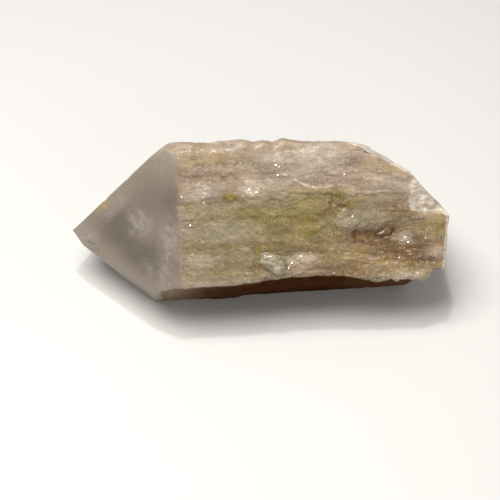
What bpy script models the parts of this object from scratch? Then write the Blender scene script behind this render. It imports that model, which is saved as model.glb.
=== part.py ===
"""Candle quartz: one prismatic quartz crystal, lying on a prism face.

The crystal is one grown solid. Its core is a six-sided prism with a rhombohedral point at the left
end and a broken right end. Its sides carry many low overgrown crystals, parallel to the core, and
rough lumps, all grown together with the core. Cracks and chips are cut from them.

Lengths are in millimetres and angles in degrees. In the working frame x runs along the crystal from
its tip, y runs away from the viewer and z is up, with the face that it rests on at z = 0. The
finished mesh is in metres, with the middle of its footprint at the origin.
"""

import math
import random
from dataclasses import dataclass

import bmesh
import bpy
from mathutils import Matrix, Vector

NODE = "quartz_crystal"
METRES_PER_MM = 0.001
COLOUR = (0.40, 0.33, 0.24, 1.0)
ROUGHNESS = 0.45

# Quartz geometry: the normal of a face of the point stands this far from the long axis.
RHOMB_TILT = 51.79
SIXTH = 60.0

# The core. The corners (y, z) are those of the cross-section at x = SECTION_X.
SECTION_X = 42.0
HEIGHT = 65.5
TIP = Vector((0.0, 6.9, 20.6))
LOWER = (-9.1, 0.0)
FRONT = (-23.6, 24.7)
TOP = (0.0, HEIGHT)
CREST = (5.0, HEIGHT)
BACK = (31.5, 19.6)
REAR = (20.2, 0.0)
TAPER = 1.2

# The faces of the point, as (turn, tilt, distance from the tip): three large ones, which meet at the
# tip, and three small ones. The second grew a little askew.
RHOMBS = (
    (30.0, RHOMB_TILT, 0.0),
    (143.6, 53.7, 0.0),
    (270.0, RHOMB_TILT, 0.0),
    (-30.0, RHOMB_TILT, 2.1),
    (90.0, RHOMB_TILT, 15.0),
    (210.0, RHOMB_TILT, 9.0),
)

BLOCK = 400.0
ROOT_DEPTH = 3.0
HEADROOM = 5.0
STEP_BACK = 0.6
WELD = 0.0005
SEED = 7


class Face:
    """A flat side of the core, with its own coordinates: a along it, v across it, height out of it."""

    def __init__(self, start, along, out):
        self.out = Vector(out).normalized()
        self.across = self.out.cross(Vector(along)).normalized()
        self.along = self.across.cross(self.out)
        self.start = Vector(start)

    def point(self, a, v, height=0.0):
        return self.start + self.along * a + self.across * v + self.out * height


def prism_face(turn, corner, lean=TAPER):
    """A long side. Its normal is turned this far from the viewer upwards, and a is about x."""
    angle, lean = math.radians(turn), math.radians(lean)
    radial = Vector((0.0, -math.cos(angle), math.sin(angle)))
    out = radial * math.cos(lean) + Vector((math.sin(lean), 0.0, 0.0))
    face = Face((SECTION_X, *corner), (1.0, 0.0, 0.0), out)
    face.start -= face.along * SECTION_X
    return face


SIDES = {
    "underside": prism_face(-30.0, LOWER, 2.0),
    "front": prism_face(30.0, FRONT),
    "top": prism_face(90.0, TOP),
    "back": prism_face(150.0, CREST, 2.0),
    "back_low": prism_face(210.0, BACK),
    "rest": prism_face(270.0, REAR, 0.0),
}

# The broken end: blunt, with two slopes above and an undercut below.
BREAKS = {
    "blunt": Face((126.4, -19.5, 28.1), (0.0, 1.0, 0.0), (0.99, -0.12, 0.03)),
    "slope": Face((98.3, 0.9, 64.8), (0.0, 1.0, 0.0), (0.517, 0.607, 0.603)),
    "shoulder": Face((113.3, -3.6, 56.4), (0.0, 1.0, 0.0), (0.742, 0.451, 0.496)),
    "undercut": Face((123.0, -13.0, 9.0), (0.0, 1.0, 0.0), (0.93, -0.10, -0.355)),
}
FACES = {**SIDES, **BREAKS}


@dataclass(frozen=True)
class Overgrowth:
    """A low crystal on a face, with a pointed end that faces the tip of the core.

    begin, end: its two ends along the face. v: its middle line. half_width: half of its flat top.
    rise: how far its top stands out. bluntness: how far both ends are cut back from a point.
    far_slope: how steeply its far end drops. turn: its own turn on the face.
    """

    face: str
    begin: float
    end: float
    v: float
    half_width: float
    rise: float
    bluntness: float = 0.0
    far_slope: float = 38.0
    turn: float = 0.0

    def planes(self):
        face = FACES[self.face]
        spin = Matrix.Rotation(math.radians(self.turn), 3, face.out)
        along, across, out = spin @ face.along, spin @ face.across, face.out
        middle = face.point((self.begin + self.end) / 2, self.v)
        reach = along * ((self.end - self.begin) / 2)
        found = [(out, middle + out * self.rise), (-out, middle - out * ROOT_DEPTH)]
        near, far = math.radians(90.0 - RHOMB_TILT), math.radians(self.far_slope)
        for sixth in (-SIXTH, 0.0, SIXTH):
            turned = math.radians(sixth)
            radial = out * math.cos(turned) + across * math.sin(turned)
            if sixth:
                edge = middle + out * self.rise + across * math.copysign(self.half_width, sixth)
                found.append((radial, edge))
            back = along * (self.bluntness if sixth else 0.0)
            found.append((radial * math.cos(near) - along * math.sin(near), middle - reach - back))
            found.append((radial * math.cos(far) + along * math.sin(far), middle + reach + back))
        return found


@dataclass(frozen=True)
class Lump:
    """A faceted knob on a face, with its own length, width and rise, and flats set by its seed."""

    face: str
    a: float
    v: float
    length: float
    width: float
    rise: float
    turn: float = 0.0
    seed: int = 0
    flats: int = 7

    def planes(self):
        face = FACES[self.face]
        spin = Matrix.Rotation(math.radians(self.turn), 3, face.out)
        along, across, out = spin @ face.along, spin @ face.across, face.out
        middle = face.point(self.a, self.v)
        chance = random.Random(self.seed)
        found = [(-out, middle - out * ROOT_DEPTH)]
        for ring, low, high in ((self.flats, 8.0, 35.0), (self.flats // 2 + 1, 48.0, 80.0)):
            for step in range(ring):
                heading = math.radians(360.0 * (step + chance.uniform(-0.3, 0.3)) / ring)
                steep = math.radians(chance.uniform(low, high))
                x, y, z = (
                    math.cos(steep) * math.cos(heading),
                    math.cos(steep) * math.sin(heading),
                    math.sin(steep),
                )
                reach = math.hypot(x * self.length / 2, y * self.width / 2, z * self.rise)
                normal = along * x + across * y + out * z
                found.append((normal, middle + normal * reach))
        return found


@dataclass(frozen=True)
class Groove:
    """A crack or hollow cut into a face: a wedge with sloping walls and ends."""

    face: str
    begin: float
    end: float
    v: float
    width: float
    depth: float
    turn: float = 0.0
    end_slope: float = 30.0

    def planes(self):
        face = FACES[self.face]
        spin = Matrix.Rotation(math.radians(self.turn), 3, face.out)
        along, across, out = spin @ face.along, spin @ face.across, face.out
        middle = face.point((self.begin + self.end) / 2, self.v)
        half_length = (self.end - self.begin) / 2
        wall = math.atan2(self.depth, self.width / 2)
        ends = math.radians(self.end_slope)
        found = [(out, middle + out * HEADROOM)]
        for side in (-1.0, 1.0):
            wall_normal = across * side * math.sin(wall) - out * math.cos(wall)
            found.append((wall_normal, middle + across * side * self.width / 2))
            end_normal = along * side * math.sin(ends) - out * math.cos(ends)
            found.append((end_normal, middle + along * side * half_length))
        return found


def rhomb_plane(turn, tilt, distance):
    """The face of the point whose normal has this turn about x and this tilt from x."""
    turn, tilt = math.radians(turn), math.radians(tilt)
    out = math.sin(tilt)
    normal = Vector((-math.cos(tilt), -math.cos(turn) * out, math.sin(turn) * out))
    return normal, TIP + normal * distance


def core_planes():
    """The planes, as (normal, point), that bound the core."""
    sides = [(face.out, face.start) for face in FACES.values()]
    return sides + [rhomb_plane(*rhomb) for rhomb in RHOMBS]


def trimmed(pieces):
    """The planes of each piece, cut off at the point and just outside the sides that it isn't on.

    Each cut has its own depth, so that no two pieces end in one plane.
    """
    found = []
    for step, piece in enumerate(pieces):
        depth = STEP_BACK * (step + 1) / len(pieces)
        planes = piece.planes() + [rhomb_plane(turn, tilt, out - depth) for turn, tilt, out in RHOMBS]
        others = BREAKS if piece.face in SIDES else SIDES
        planes += [(face.out, face.start + face.out * depth) for face in others.values()]
        found.append(planes)
    return found


def chips():
    """The planes of what broke off at the end of the front face: above a step, and at its low corner."""
    front = SIDES["front"]
    slope, fall = math.radians(24.0), math.radians(9.0)
    floor = front.out * math.cos(slope) + front.along * math.sin(slope)
    step = front.across * math.cos(fall) + front.along * math.sin(fall)
    upper = [(-floor, front.point(113.5, 30.0)), (-step, front.point(113.5, 24.4))]
    wall = front.along * math.cos(fall) - front.out * math.sin(fall)
    lower = [(-wall, front.point(122.0, 0.0)), (step, front.point(122.0, 3.6))]
    return [upper, lower]


def front_crystals():
    """The overgrowths that stand out on the front face, row by row from its lower edge to the top."""
    low = [
        Overgrowth("front", 36.5, 64.0, 2.6, 2.2, 0.9, 1.6),
        Overgrowth("front", 52.0, 86.0, 2.2, 1.8, 1.3, 1.0),
        Overgrowth("front", 72.0, 95.0, 6.4, 3.4, 1.5, 1.8),
        Overgrowth("front", 84.0, 105.0, 2.6, 1.7, 1.2, 1.0),
        Overgrowth("front", 97.0, 122.0, 2.4, 2.8, 1.9, 2.0),
        Overgrowth("front", 36.0, 62.0, 9.6, 3.2, 1.1, 1.5),
        Lump("front", 68.0, 7.3, 10.5, 6.0, 2.8, -42.0, 3),
        Overgrowth("front", 88.0, 112.0, 11.4, 3.6, 1.4, 1.6),
        Overgrowth("front", 108.0, 126.0, 9.0, 3.0, 1.6, 1.0),
        Overgrowth("front", 103.0, 125.0, 14.6, 2.6, 1.5, 1.4),
    ]
    middle = [
        Overgrowth("front", 35.0, 66.0, 18.6, 3.4, 1.8, 2.4),
        Overgrowth("front", 63.0, 88.0, 14.6, 2.2, 1.0, 1.0),
        Overgrowth("front", 60.0, 84.0, 21.0, 2.6, 0.9, 1.2),
        Overgrowth("front", 87.0, 111.0, 21.6, 2.6, 2.1, 0.4),
        Overgrowth("front", 107.0, 126.0, 20.2, 1.8, 1.7, 1.0),
        Overgrowth("front", 36.0, 54.0, 25.6, 1.7, 0.9, 0.8),
        Overgrowth("front", 49.0, 78.0, 26.6, 2.2, 1.0, 1.0),
        Overgrowth("front", 92.0, 115.0, 27.2, 2.2, 1.0, 1.2),
    ]
    high = [
        Overgrowth("front", 36.5, 57.0, 33.4, 3.0, 1.3, 1.5),
        Lump("front", 45.2, 33.8, 6.5, 6.0, 2.7, 10.0, 5),
        Overgrowth("front", 54.0, 74.0, 33.2, 3.0, 1.2, 1.4),
        Lump("front", 61.0, 33.4, 6.0, 5.5, 2.5, 0.0, 8),
        Overgrowth("front", 70.0, 98.0, 34.8, 3.2, 1.1, 1.6, 38.0, -5.0),
        Overgrowth("front", 90.0, 114.0, 33.6, 2.8, 1.0, 1.4),
        Overgrowth("front", 37.0, 55.0, 41.4, 2.4, 1.0, 1.2),
        Overgrowth("front", 52.0, 74.0, 42.4, 2.8, 1.2, 1.2),
        Overgrowth("front", 72.0, 94.0, 42.0, 2.4, 1.3, 1.2),
        Overgrowth("front", 88.0, 108.0, 40.6, 2.2, 1.0, 1.2),
    ]
    return low + middle + high


def scattered_crystals():
    """Smaller overgrowths, strewn over every side but the one that it rests on."""
    chance = random.Random(SEED)
    spreads = (
        # face, count, width of the face, shortest and longest, smallest and largest rise
        ("front", 16, 45.0, 5.0, 14.0, 0.5, 1.2),
        ("underside", 10, 24.0, 10.0, 30.0, 0.6, 1.5),
        ("back", 30, 50.0, 12.0, 36.0, 0.7, 2.0),
        ("back_low", 11, 20.0, 12.0, 34.0, 0.7, 1.8),
    )
    found = []
    for face, count, width, shortest, longest, least, most in spreads:
        for step in range(count):
            length = chance.uniform(shortest, longest)
            begin = chance.uniform(38.0, 116.0 - 0.6 * length)
            v = 3.0 + (width - 3.0) * ((step * 0.618) % 1.0)
            half_width = chance.uniform(0.09, 0.16) * length
            rise = chance.uniform(least, most)
            bluntness = 0.5 * half_width
            far_slope = chance.uniform(25.0, 60.0)
            end = begin + length
            found.append(Overgrowth(face, begin, end, v, half_width, rise, bluntness, far_slope))
    return found


def edge_lumps():
    """Knobs along the upper edge, under the front edge and on the broken end."""
    spreads = (
        # face, count, range of a, range of v, range of size, range of rise
        ("top", 12, (37.0, 94.0), (-0.5, 3.5), (5.5, 8.5), (0.3, 0.8)),
        ("underside", 6, (60.0, 114.0), (24.5, 27.5), (5.0, 9.0), (0.8, 1.6)),
        ("blunt", 6, (4.0, 28.0), (-16.0, 0.0), (6.0, 9.0), (0.7, 1.4)),
        ("slope", 7, (4.0, 20.0), (-20.0, -5.0), (7.0, 12.0), (0.5, 1.0)),
        ("shoulder", 9, (4.0, 32.0), (-32.0, -4.0), (8.0, 12.0), (0.7, 1.4)),
    )
    chance = random.Random(SEED + 1)
    found = [Lump("slope", 1.5, -5.0, 6.5, 5.0, 1.3, 0.0, SEED)]
    for face, count, a_range, v_range, sizes, rises in spreads:
        for step in range(count):
            share = (step + chance.uniform(0.2, 0.8)) / count
            a = a_range[0] + share * (a_range[1] - a_range[0])
            v = chance.uniform(*v_range)
            length = chance.uniform(*sizes)
            width = length * chance.uniform(0.6, 0.9)
            rise, turn = chance.uniform(*rises), chance.uniform(-30.0, 30.0)
            found.append(Lump(face, a, v, length, width, rise, turn, len(found), 6))
    return found


def grooves():
    """The cracks and hollows between the overgrowths, and pits in the face that it rests on."""
    found = [
        Groove("front", 56.0, 70.0, 23.6, 1.5, 2.2, 2.0),
        Groove("front", 37.0, 52.0, 22.9, 1.2, 1.8, 1.0),
        Groove("front", 41.0, 54.0, 13.6, 1.2, 1.8, 4.0),
        Groove("front", 94.0, 111.0, 17.9, 3.0, 3.2, 0.0),
        Groove("front", 86.0, 92.0, 27.0, 3.0, 1.6, -30.0),
        Groove("front", 118.0, 129.0, 6.2, 1.4, 2.4, -6.0),
        Groove("front", 58.0, 66.0, 38.4, 1.4, 1.6, -8.0),
    ]
    chance = random.Random(SEED + 2)
    for face, v, count in (("rest", 8.0, 3), ("rest", 19.0, 3), ("back", 33.0, 3), ("back_low", 9.0, 2)):
        for step in range(count):
            begin = 38.0 + 62.0 * (step + chance.uniform(0.0, 0.5)) / count
            length, width = chance.uniform(9.0, 18.0), chance.uniform(2.0, 4.0)
            middle = v + chance.uniform(-3.0, 3.0)
            turn = chance.uniform(-6.0, 6.0)
            found.append(Groove(face, begin, begin + length, middle, width, 0.4 * width, turn))
    return found


def convex_mesh(name, planes):
    """A mesh of the convex solid inside all the planes: a block, cut by each plane in turn."""
    shape = bmesh.new()
    bmesh.ops.create_cube(shape, size=BLOCK)
    for normal, point in planes:
        everything = shape.verts[:] + shape.edges[:] + shape.faces[:]
        cut = bmesh.ops.bisect_plane(
            shape, geom=everything, dist=1e-5, plane_co=point, plane_no=normal, clear_outer=True
        )
        rim = [item for item in cut["geom_cut"] if isinstance(item, bmesh.types.BMEdge)]
        if rim:
            bmesh.ops.edgeloop_fill(shape, edges=rim)
    bmesh.ops.recalc_face_normals(shape, faces=shape.faces)
    mesh = bpy.data.meshes.new(name)
    shape.to_mesh(mesh)
    shape.free()
    return mesh


def helper_group(name, shapes):
    """A collection of one hidden helper object for each list of planes."""
    group = bpy.data.collections.new(name)
    bpy.context.scene.collection.children.link(group)
    for step, planes in enumerate(shapes):
        helper = bpy.data.objects.new(f"{name}_{step}", convex_mesh(f"{name}_{step}", planes))
        helper.hide_render = True
        helper.display_type = "WIRE"
        group.objects.link(helper)
    return group


def weld(shape):
    """Merges the doubled vertices that a Boolean leaves."""
    bmesh.ops.remove_doubles(shape, verts=shape.verts, dist=WELD)
    bmesh.ops.dissolve_degenerate(shape, dist=WELD, edges=shape.edges)


def boolean(target, operation, group):
    """Adds or cuts every helper of the group, and keeps the result as the target's own mesh."""
    modifier = target.modifiers.new(operation.title(), "BOOLEAN")
    modifier.operation = operation
    modifier.operand_type = "COLLECTION"
    modifier.collection = group
    modifier.solver = "EXACT"
    graph = bpy.context.evaluated_depsgraph_get()
    result = bpy.data.meshes.new_from_object(target.evaluated_get(graph))
    target.modifiers.remove(modifier)
    shape = bmesh.new()
    shape.from_mesh(result)
    weld(shape)
    shape.to_mesh(result)
    shape.free()
    target.data = result
    for helper in list(group.objects):
        bpy.data.objects.remove(helper)
    bpy.data.collections.remove(group)


def quartz_material():
    """Milky quartz with a brown iron stain."""
    material = bpy.data.materials.new("milky_quartz")
    material.use_nodes = True
    shader = material.node_tree.nodes["Principled BSDF"]
    shader.inputs["Base Color"].default_value = COLOUR
    shader.inputs["Roughness"].default_value = ROUGHNESS
    shader.inputs["Metallic"].default_value = 0.0
    return material


def finish(crystal):
    """Moves the mesh to the middle of its footprint and turns it into metres."""
    shape = bmesh.new()
    shape.from_mesh(crystal.data)
    low = Vector([min(vertex.co[axis] for vertex in shape.verts) for axis in range(3)])
    high = Vector([max(vertex.co[axis] for vertex in shape.verts) for axis in range(3)])
    middle = (low + high) / 2
    shift = Matrix.Translation((-middle.x, -middle.y, -low.z))
    scale = Matrix.Scale(METRES_PER_MM, 4)
    bmesh.ops.transform(shape, matrix=scale @ shift, verts=shape.verts)
    shape.to_mesh(crystal.data)
    shape.free()
    crystal.data.materials.clear()
    crystal.data.materials.append(quartz_material())


def main():
    for item in list(bpy.data.objects):
        bpy.data.objects.remove(item)
    crystal = bpy.data.objects.new(NODE, convex_mesh(NODE, core_planes()))
    bpy.context.scene.collection.objects.link(crystal)
    grown = front_crystals() + scattered_crystals() + edge_lumps()
    boolean(crystal, "UNION", helper_group("grown", trimmed(grown)))
    cuts = [piece.planes() for piece in grooves()] + chips()
    boolean(crystal, "DIFFERENCE", helper_group("cuts", cuts))
    finish(crystal)


main()
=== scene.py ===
"""Looks of a candle quartz: a milky quartz point lying on a long side, crowded with low crystals.

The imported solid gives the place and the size. Its visible form is worked out here as grid surfaces:
a core bounded by the planes of a quartz prism, and the low crystals and knobs grown onto its sides.
Lengths are in millimetres in a working frame with x along the crystal from its tip, y away from the
viewer and z up from the face that it rests on. Meshes are turned into metres in the frame's place.
"""

from __future__ import annotations

import logging
import math
import random
from dataclasses import dataclass, field
from enum import Enum

import bpy
import numpy as np
from mathutils import Matrix, Vector

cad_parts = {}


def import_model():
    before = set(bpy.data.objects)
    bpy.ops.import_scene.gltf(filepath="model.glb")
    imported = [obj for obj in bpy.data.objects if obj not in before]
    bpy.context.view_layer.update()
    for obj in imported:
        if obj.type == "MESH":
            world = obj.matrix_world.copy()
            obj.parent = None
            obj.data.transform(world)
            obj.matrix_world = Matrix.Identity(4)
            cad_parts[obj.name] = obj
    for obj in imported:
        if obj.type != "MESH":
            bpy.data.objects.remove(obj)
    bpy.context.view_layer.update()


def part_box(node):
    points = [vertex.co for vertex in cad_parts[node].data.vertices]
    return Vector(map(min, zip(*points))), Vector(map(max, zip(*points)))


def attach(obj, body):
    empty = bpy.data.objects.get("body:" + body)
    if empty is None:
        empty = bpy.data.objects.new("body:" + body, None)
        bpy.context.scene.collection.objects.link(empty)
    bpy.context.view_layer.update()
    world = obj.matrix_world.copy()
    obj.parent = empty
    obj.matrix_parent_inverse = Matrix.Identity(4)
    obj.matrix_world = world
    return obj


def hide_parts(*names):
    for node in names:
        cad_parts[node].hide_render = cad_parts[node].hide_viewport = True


LOG = logging.getLogger("candle_quartz")
NODE = "quartz_crystal"
ROOT = "root"
METRES_PER_MM = 0.001
QUARTZ_IOR = 1.54

# Where the working frame's y = 0 lies in the frame, in millimetres.
FRAME_SHIFT_Y = -4.098

# An array, a piece, a plane as (normal, point), a linear colour with its alpha, a node's socket.
Array = np.ndarray
Piece = bpy.types.Object
Plane = tuple[Array, Array]
Colour = tuple[float, ...]
Socket = bpy.types.NodeSocket

# Quartz geometry, in degrees: how far the normal of a face of the point stands from the long axis.
RHOMB_TILT = 51.79
SIXTH = 60.0

# The core. The corners (y, z) are those of its cross-section at x = SECTION_X.
SECTION_X = 42.0
HEIGHT = 65.5
TIP = np.array([0.0, 6.9, 20.6])
LOWER = (-9.1, 0.0)
FRONT = (-23.6, 24.7)
TOP = (0.0, HEIGHT)
CREST = (5.0, HEIGHT)
BACK = (31.5, 19.6)
REAR = (20.2, 0.0)
TAPER = 1.2

# The faces of the point, as (turn, tilt, distance from the tip).
RHOMBS = (
    (30.0, 50.7, 0.0), (143.6, 53.7, 0.0), (270.0, RHOMB_TILT, 0.0),
    (-30.0, RHOMB_TILT, 2.1), (90.0, RHOMB_TILT, 15.0), (210.0, RHOMB_TILT, 9.0),
)

# How deep grown pieces are rooted, how far cuts reach out, and how far apart such pieces end.
ROOT_DEPTH = 3.0
HEADROOM = 5.0
STEP_BACK = 0.6

# The first seed, a number beyond all lengths, one below them, and a weight that never lets none be.
SEED = 7
FAR = 1e6
TINY = 1e-6
NEVER_NONE = 1e-9

# Heights over the front's plane: from where to where the other sides begin, and the front's least.
HIDDEN = (-3.0, -6.0)
FRONT_DEPTH = -4.0

# The ring-shaped pit of the point: its place (a, v) and radius. The middle of the break's ripples.
POINT_PIT = (33.5, -6.6, 2.9)
RIPPLE_CENTRE = np.array([112.0, -14.0, 46.0])


def unit(vector: Array) -> Array:
    """The vector, or each row of vectors, at length one."""
    return vector / np.linalg.norm(vector, axis=-1, keepdims=True)


def smooth(low: float, high: float, value: Array) -> Array:
    """A smooth step: 0 below low, 1 above high and 3t^2 - 2t^3 between."""
    share = np.clip((value - low) / (high - low), 0.0, 1.0)
    return share * share * (3.0 - 2.0 * share)


def turned(vector: Array, axis: Array, degrees: float) -> Array:
    """The vector turned about a unit axis at right angles to it."""
    angle = math.radians(degrees)
    return vector * math.cos(angle) + np.cross(axis, vector) * math.sin(angle)


class Face:
    """A flat side of the core, with its own coordinates: a along it, v across it, height out of it."""

    def __init__(self, start: tuple[float, ...], along: tuple[float, ...], out: Array) -> None:
        """Sets up the face's axes.

        Args:
            start: A point on the face, where a, v and height are 0.
            along: Roughly the way in which a grows.
            out: The outward normal, of any length.
        """
        self.out = unit(np.asarray(out, dtype=float))
        self.across = unit(np.cross(self.out, np.asarray(along, dtype=float)))
        self.along = np.cross(self.across, self.out)
        self.start = np.asarray(start, dtype=float)

    def point(self, a: float, v: float, height: float = 0.0) -> Array:
        """The point with these coordinates."""
        return self.start + self.along * a + self.across * v + self.out * height

    def local(self, points: Array) -> tuple[Array, Array, Array]:
        """The coordinates a, v and height of each row of points."""
        offset = points - self.start
        return offset @ self.along, offset @ self.across, offset @ self.out


def prism_face(turn: float, corner: tuple[float, float], lean: float = TAPER) -> Face:
    """A long side of the core.

    Args:
        turn: Turn of its normal about x, from the viewer upwards, in degrees.
        corner: The (y, z) corner of the cross-section where v is 0.
        lean: How much it closes in towards the broken end, in degrees.

    Returns:
        The face, with a about equal to x.
    """
    angle, tilt = math.radians(turn), math.radians(lean)
    radial = np.array([0.0, -math.cos(angle), math.sin(angle)])
    out = radial * math.cos(tilt) + np.array([math.sin(tilt), 0.0, 0.0])
    face = Face((SECTION_X, *corner), (1.0, 0.0, 0.0), out)
    face.start = face.start - face.along * SECTION_X
    return face


SIDES = {
    "underside": prism_face(-30.0, LOWER, 2.0),
    "front": prism_face(30.0, FRONT),
    "top": prism_face(90.0, TOP),
    "back": prism_face(150.0, CREST, 2.0),
    "back_low": prism_face(210.0, BACK),
    "rest": prism_face(270.0, REAR, 0.0),
}

BREAKS = {
    "blunt": Face((126.4, -19.5, 28.1), (0.0, 1.0, 0.0), (0.99, -0.12, 0.03)),
    "slope": Face((98.3, 0.9, 64.8), (0.0, 1.0, 0.0), (0.517, 0.607, 0.603)),
    "shoulder": Face((113.3, -3.6, 56.4), (0.0, 1.0, 0.0), (0.742, 0.451, 0.496)),
    "undercut": Face((123.0, -13.0, 9.0), (0.0, 1.0, 0.0), (0.93, -0.10, -0.355)),
}
FACES = {**SIDES, **BREAKS}


def planes_of(faces: dict[str, Face]) -> list[Plane]:
    """The planes of these faces."""
    return [(face.out, face.start) for face in faces.values()]


def rhomb_plane(turn: float, tilt: float, distance: float) -> Plane:
    """The plane of a face of the point: its turn about x, tilt from x and distance from the tip."""
    about, away = math.radians(turn), math.radians(tilt)
    out = math.sin(away)
    normal = np.array([-math.cos(away), -math.cos(about) * out, math.sin(about) * out])
    return normal, TIP + normal * distance


# Lumps and hollows of the upper edge: where along it, half width and height.
CRESTS = (
    (34.6, 2, -0.9), (39.3, 2.8, -0.4), (42.9, 1, -0.7), (45, 1.4, -0.3), (49.3, 1.6, -0.4),
    (47.2, 1, -0.7), (53.5, 2.4, -0.75), (58.4, 2.6, 0.85), (61.6, 1.2, -0.4), (64.8, 2.4, 0.75),
    (68, 1, -0.4), (71.8, 2.8, 1.6), (76.5, 2.2, 0.2), (80.8, 1.8, -0.8), (84, 1.8, 0.1),
    (90.5, 4, -0.8), (94, 4, -0.5), (99.5, 3, -1.6), (106, 3.5, -2.4),
)

# Nicks in the edges of the point: x, y, z, radius and depth.
NICKS = (
    (12.4, 5, 36.8, 1.7, 0.6), (30, 3.6, 62.2, 1.6, 0.4), (6, 3.6, 17, 1.2, 0.3),
    (20, 4.2, 48.6, 1.4, 0.25), (33.6, -19, 24, 1.6, 0.3),
)
POINT_FACE = Face((0.0, 6.9, 20.6), (1.0, 0.0, 0.0), rhomb_plane(*RHOMBS[0])[0])


class Noise:
    """Smooth random fields in space, the same on every run.

    Formula: each point of a cubic lattice holds a random slope. The value at a point is the blend of
    the eight slopes around it, each times the way from its lattice point, by a fifth-power ease.
    """

    def __init__(self, seed: int) -> None:
        """Draws the lattice's slopes from the seed."""
        chance = np.random.default_rng(seed)
        self._order = chance.permutation(256)
        self._slopes = unit(chance.normal(size=(256, 3)))

    def _pick(self, cell: Array) -> Array:
        """A repeatable number under 256 for each lattice cell."""
        order = self._order
        inner = order[(order[cell[..., 0] & 255] + cell[..., 1]) & 255]
        return order[(inner + cell[..., 2]) & 255]

    def value(self, points: Array) -> Array:
        """The field at each point, about -0.7 to 0.7, with features one unit wide."""
        cell = np.floor(points).astype(np.int64)
        within = points - cell
        ease = within**3 * (within * (within * 6.0 - 15.0) + 10.0)
        total = np.zeros(points.shape[:-1])
        for corner in np.ndindex(2, 2, 2):
            step = np.array(corner)
            slope = self._slopes[self._pick(cell + step)]
            weight = np.prod(np.where(step == 1, ease, 1.0 - ease), axis=-1)
            total += weight * np.sum(slope * (within - step), axis=-1)
        return total

    def fractal(self, points: Array, octaves: int = 4) -> Array:
        """A sum of fields, each twice as fine and half as strong as the last."""
        return sum(self.value(points * 2.0**k + 17.3 * k) / 2.0**k for k in range(octaves))

    def sway(self, points: Array, fineness: float) -> Array:
        """Three fields at once, as a shift along x, y and z."""
        fields = [self.fractal(points * fineness + 20.0 * axis, 3) for axis in range(3)]
        return np.stack(fields, axis=-1)

    def facets(self, points: Array) -> tuple[Array, Array]:
        """A mosaic of flat, tilted patches.

        Formula: each point belongs to the nearest of the scattered lattice points. Its height is its
        way from there times that patch's random slope, plus the patch's random level.

        Args:
            points: The points, in patch widths.

        Returns:
            The heights, and how near each point is to the edge of its patch, 0 on the edge.
        """
        cell = np.floor(points).astype(np.int64)
        nearest = np.full(points.shape[:-1], 9.0)
        second, height = nearest.copy(), np.zeros(points.shape[:-1])
        for shift in np.ndindex(3, 3, 3):
            other = cell + np.array(shift) - 1
            pick = self._pick(other)
            way = points - (other + 0.5 + 0.45 * self._slopes[pick])
            distance = np.linalg.norm(way, axis=-1)
            tilt = self._slopes[(pick * 7 + 31) & 255]
            own = np.sum(way * tilt, axis=-1) + 0.5 * tilt[..., 0]
            height = np.where(distance < nearest, own, height)
            second = np.minimum(second, np.maximum(nearest, distance))
            nearest = np.minimum(nearest, distance)
        return height, second - nearest


@dataclass(frozen=True)
class Solid:
    """A convex solid: all points p with normals @ p at most offsets."""

    normals: Array
    offsets: Array

    @classmethod
    def inside(cls, planes: list[Plane]) -> Solid:
        """The solid inside planes given as (normal, point)."""
        normals = unit(np.array([normal for normal, _ in planes]))
        points = np.array([point for _, point in planes])
        return cls(normals, np.sum(normals * points, axis=1))

    def reach(self, origins: Array, ways: Array, softness: float | Array) -> Array:
        """How far each ray runs before it leaves the solid.

        Formula: a ray leaves by the plane that it meets first, at (offset - n.o) / (n.d). The
        smallest is taken as -k log(sum(exp(-t / k))), which rounds the edges by about k.

        Args:
            origins: Ray starts inside the solid, with x, y and z last.
            ways: Ray directions, shaped as origins.
            softness: The k above, in millimetres: one number, or one for each ray.

        Returns:
            The distances, in units of each direction's length.
        """
        rate = ways @ self.normals.T
        gap = self.offsets - origins @ self.normals.T
        ahead = rate > TINY
        times = np.where(ahead, gap / np.where(ahead, rate, 1.0), FAR)
        first = times.min(axis=-1)
        rest = np.exp(-(times - first[..., None]) / np.asarray(softness)[..., None]).sum(axis=-1)
        return first - softness * np.log(rest)

    def outside(self, points: Array) -> Array:
        """About how far outside the solid each point is: negative inside it."""
        return (points @ self.normals.T - self.offsets).max(axis=-1)

    def push_out(self, points: Array, way: Array, bend: Array) -> Array:
        """Moves the points that are inside the solid out of it, along one direction.

        Args:
            points: The points.
            way: The direction.
            bend: How far each point's place is shifted before it is tested, for ragged edges.

        Returns:
            The points, moved.
        """
        rate = self.normals @ way
        leaving = rate > 1e-4
        room = self.offsets - (points + bend) @ self.normals.T
        inside = (room > 0.0).all(axis=-1)
        travel = (room[..., leaving] / rate[leaving]).min(axis=-1)
        return points + np.where(inside, travel, 0.0)[..., None] * way


class OnFace:
    """What stands on a face or is cut into it, between two places along it and at one across it."""

    face: str
    begin: float
    end: float
    v: float
    turn: float

    def axes(self) -> tuple[Array, Array, Array]:
        """Its own along, across and out directions."""
        face = FACES[self.face]
        along, across = (turned(way, face.out, self.turn) for way in (face.along, face.across))
        return along, across, face.out

    def centre(self) -> float:
        """How far along the face its middle is."""
        return (self.begin + self.end) / 2

    def middle(self) -> Array:
        """The middle of its foot."""
        return FACES[self.face].point(self.centre(), self.v)


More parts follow.
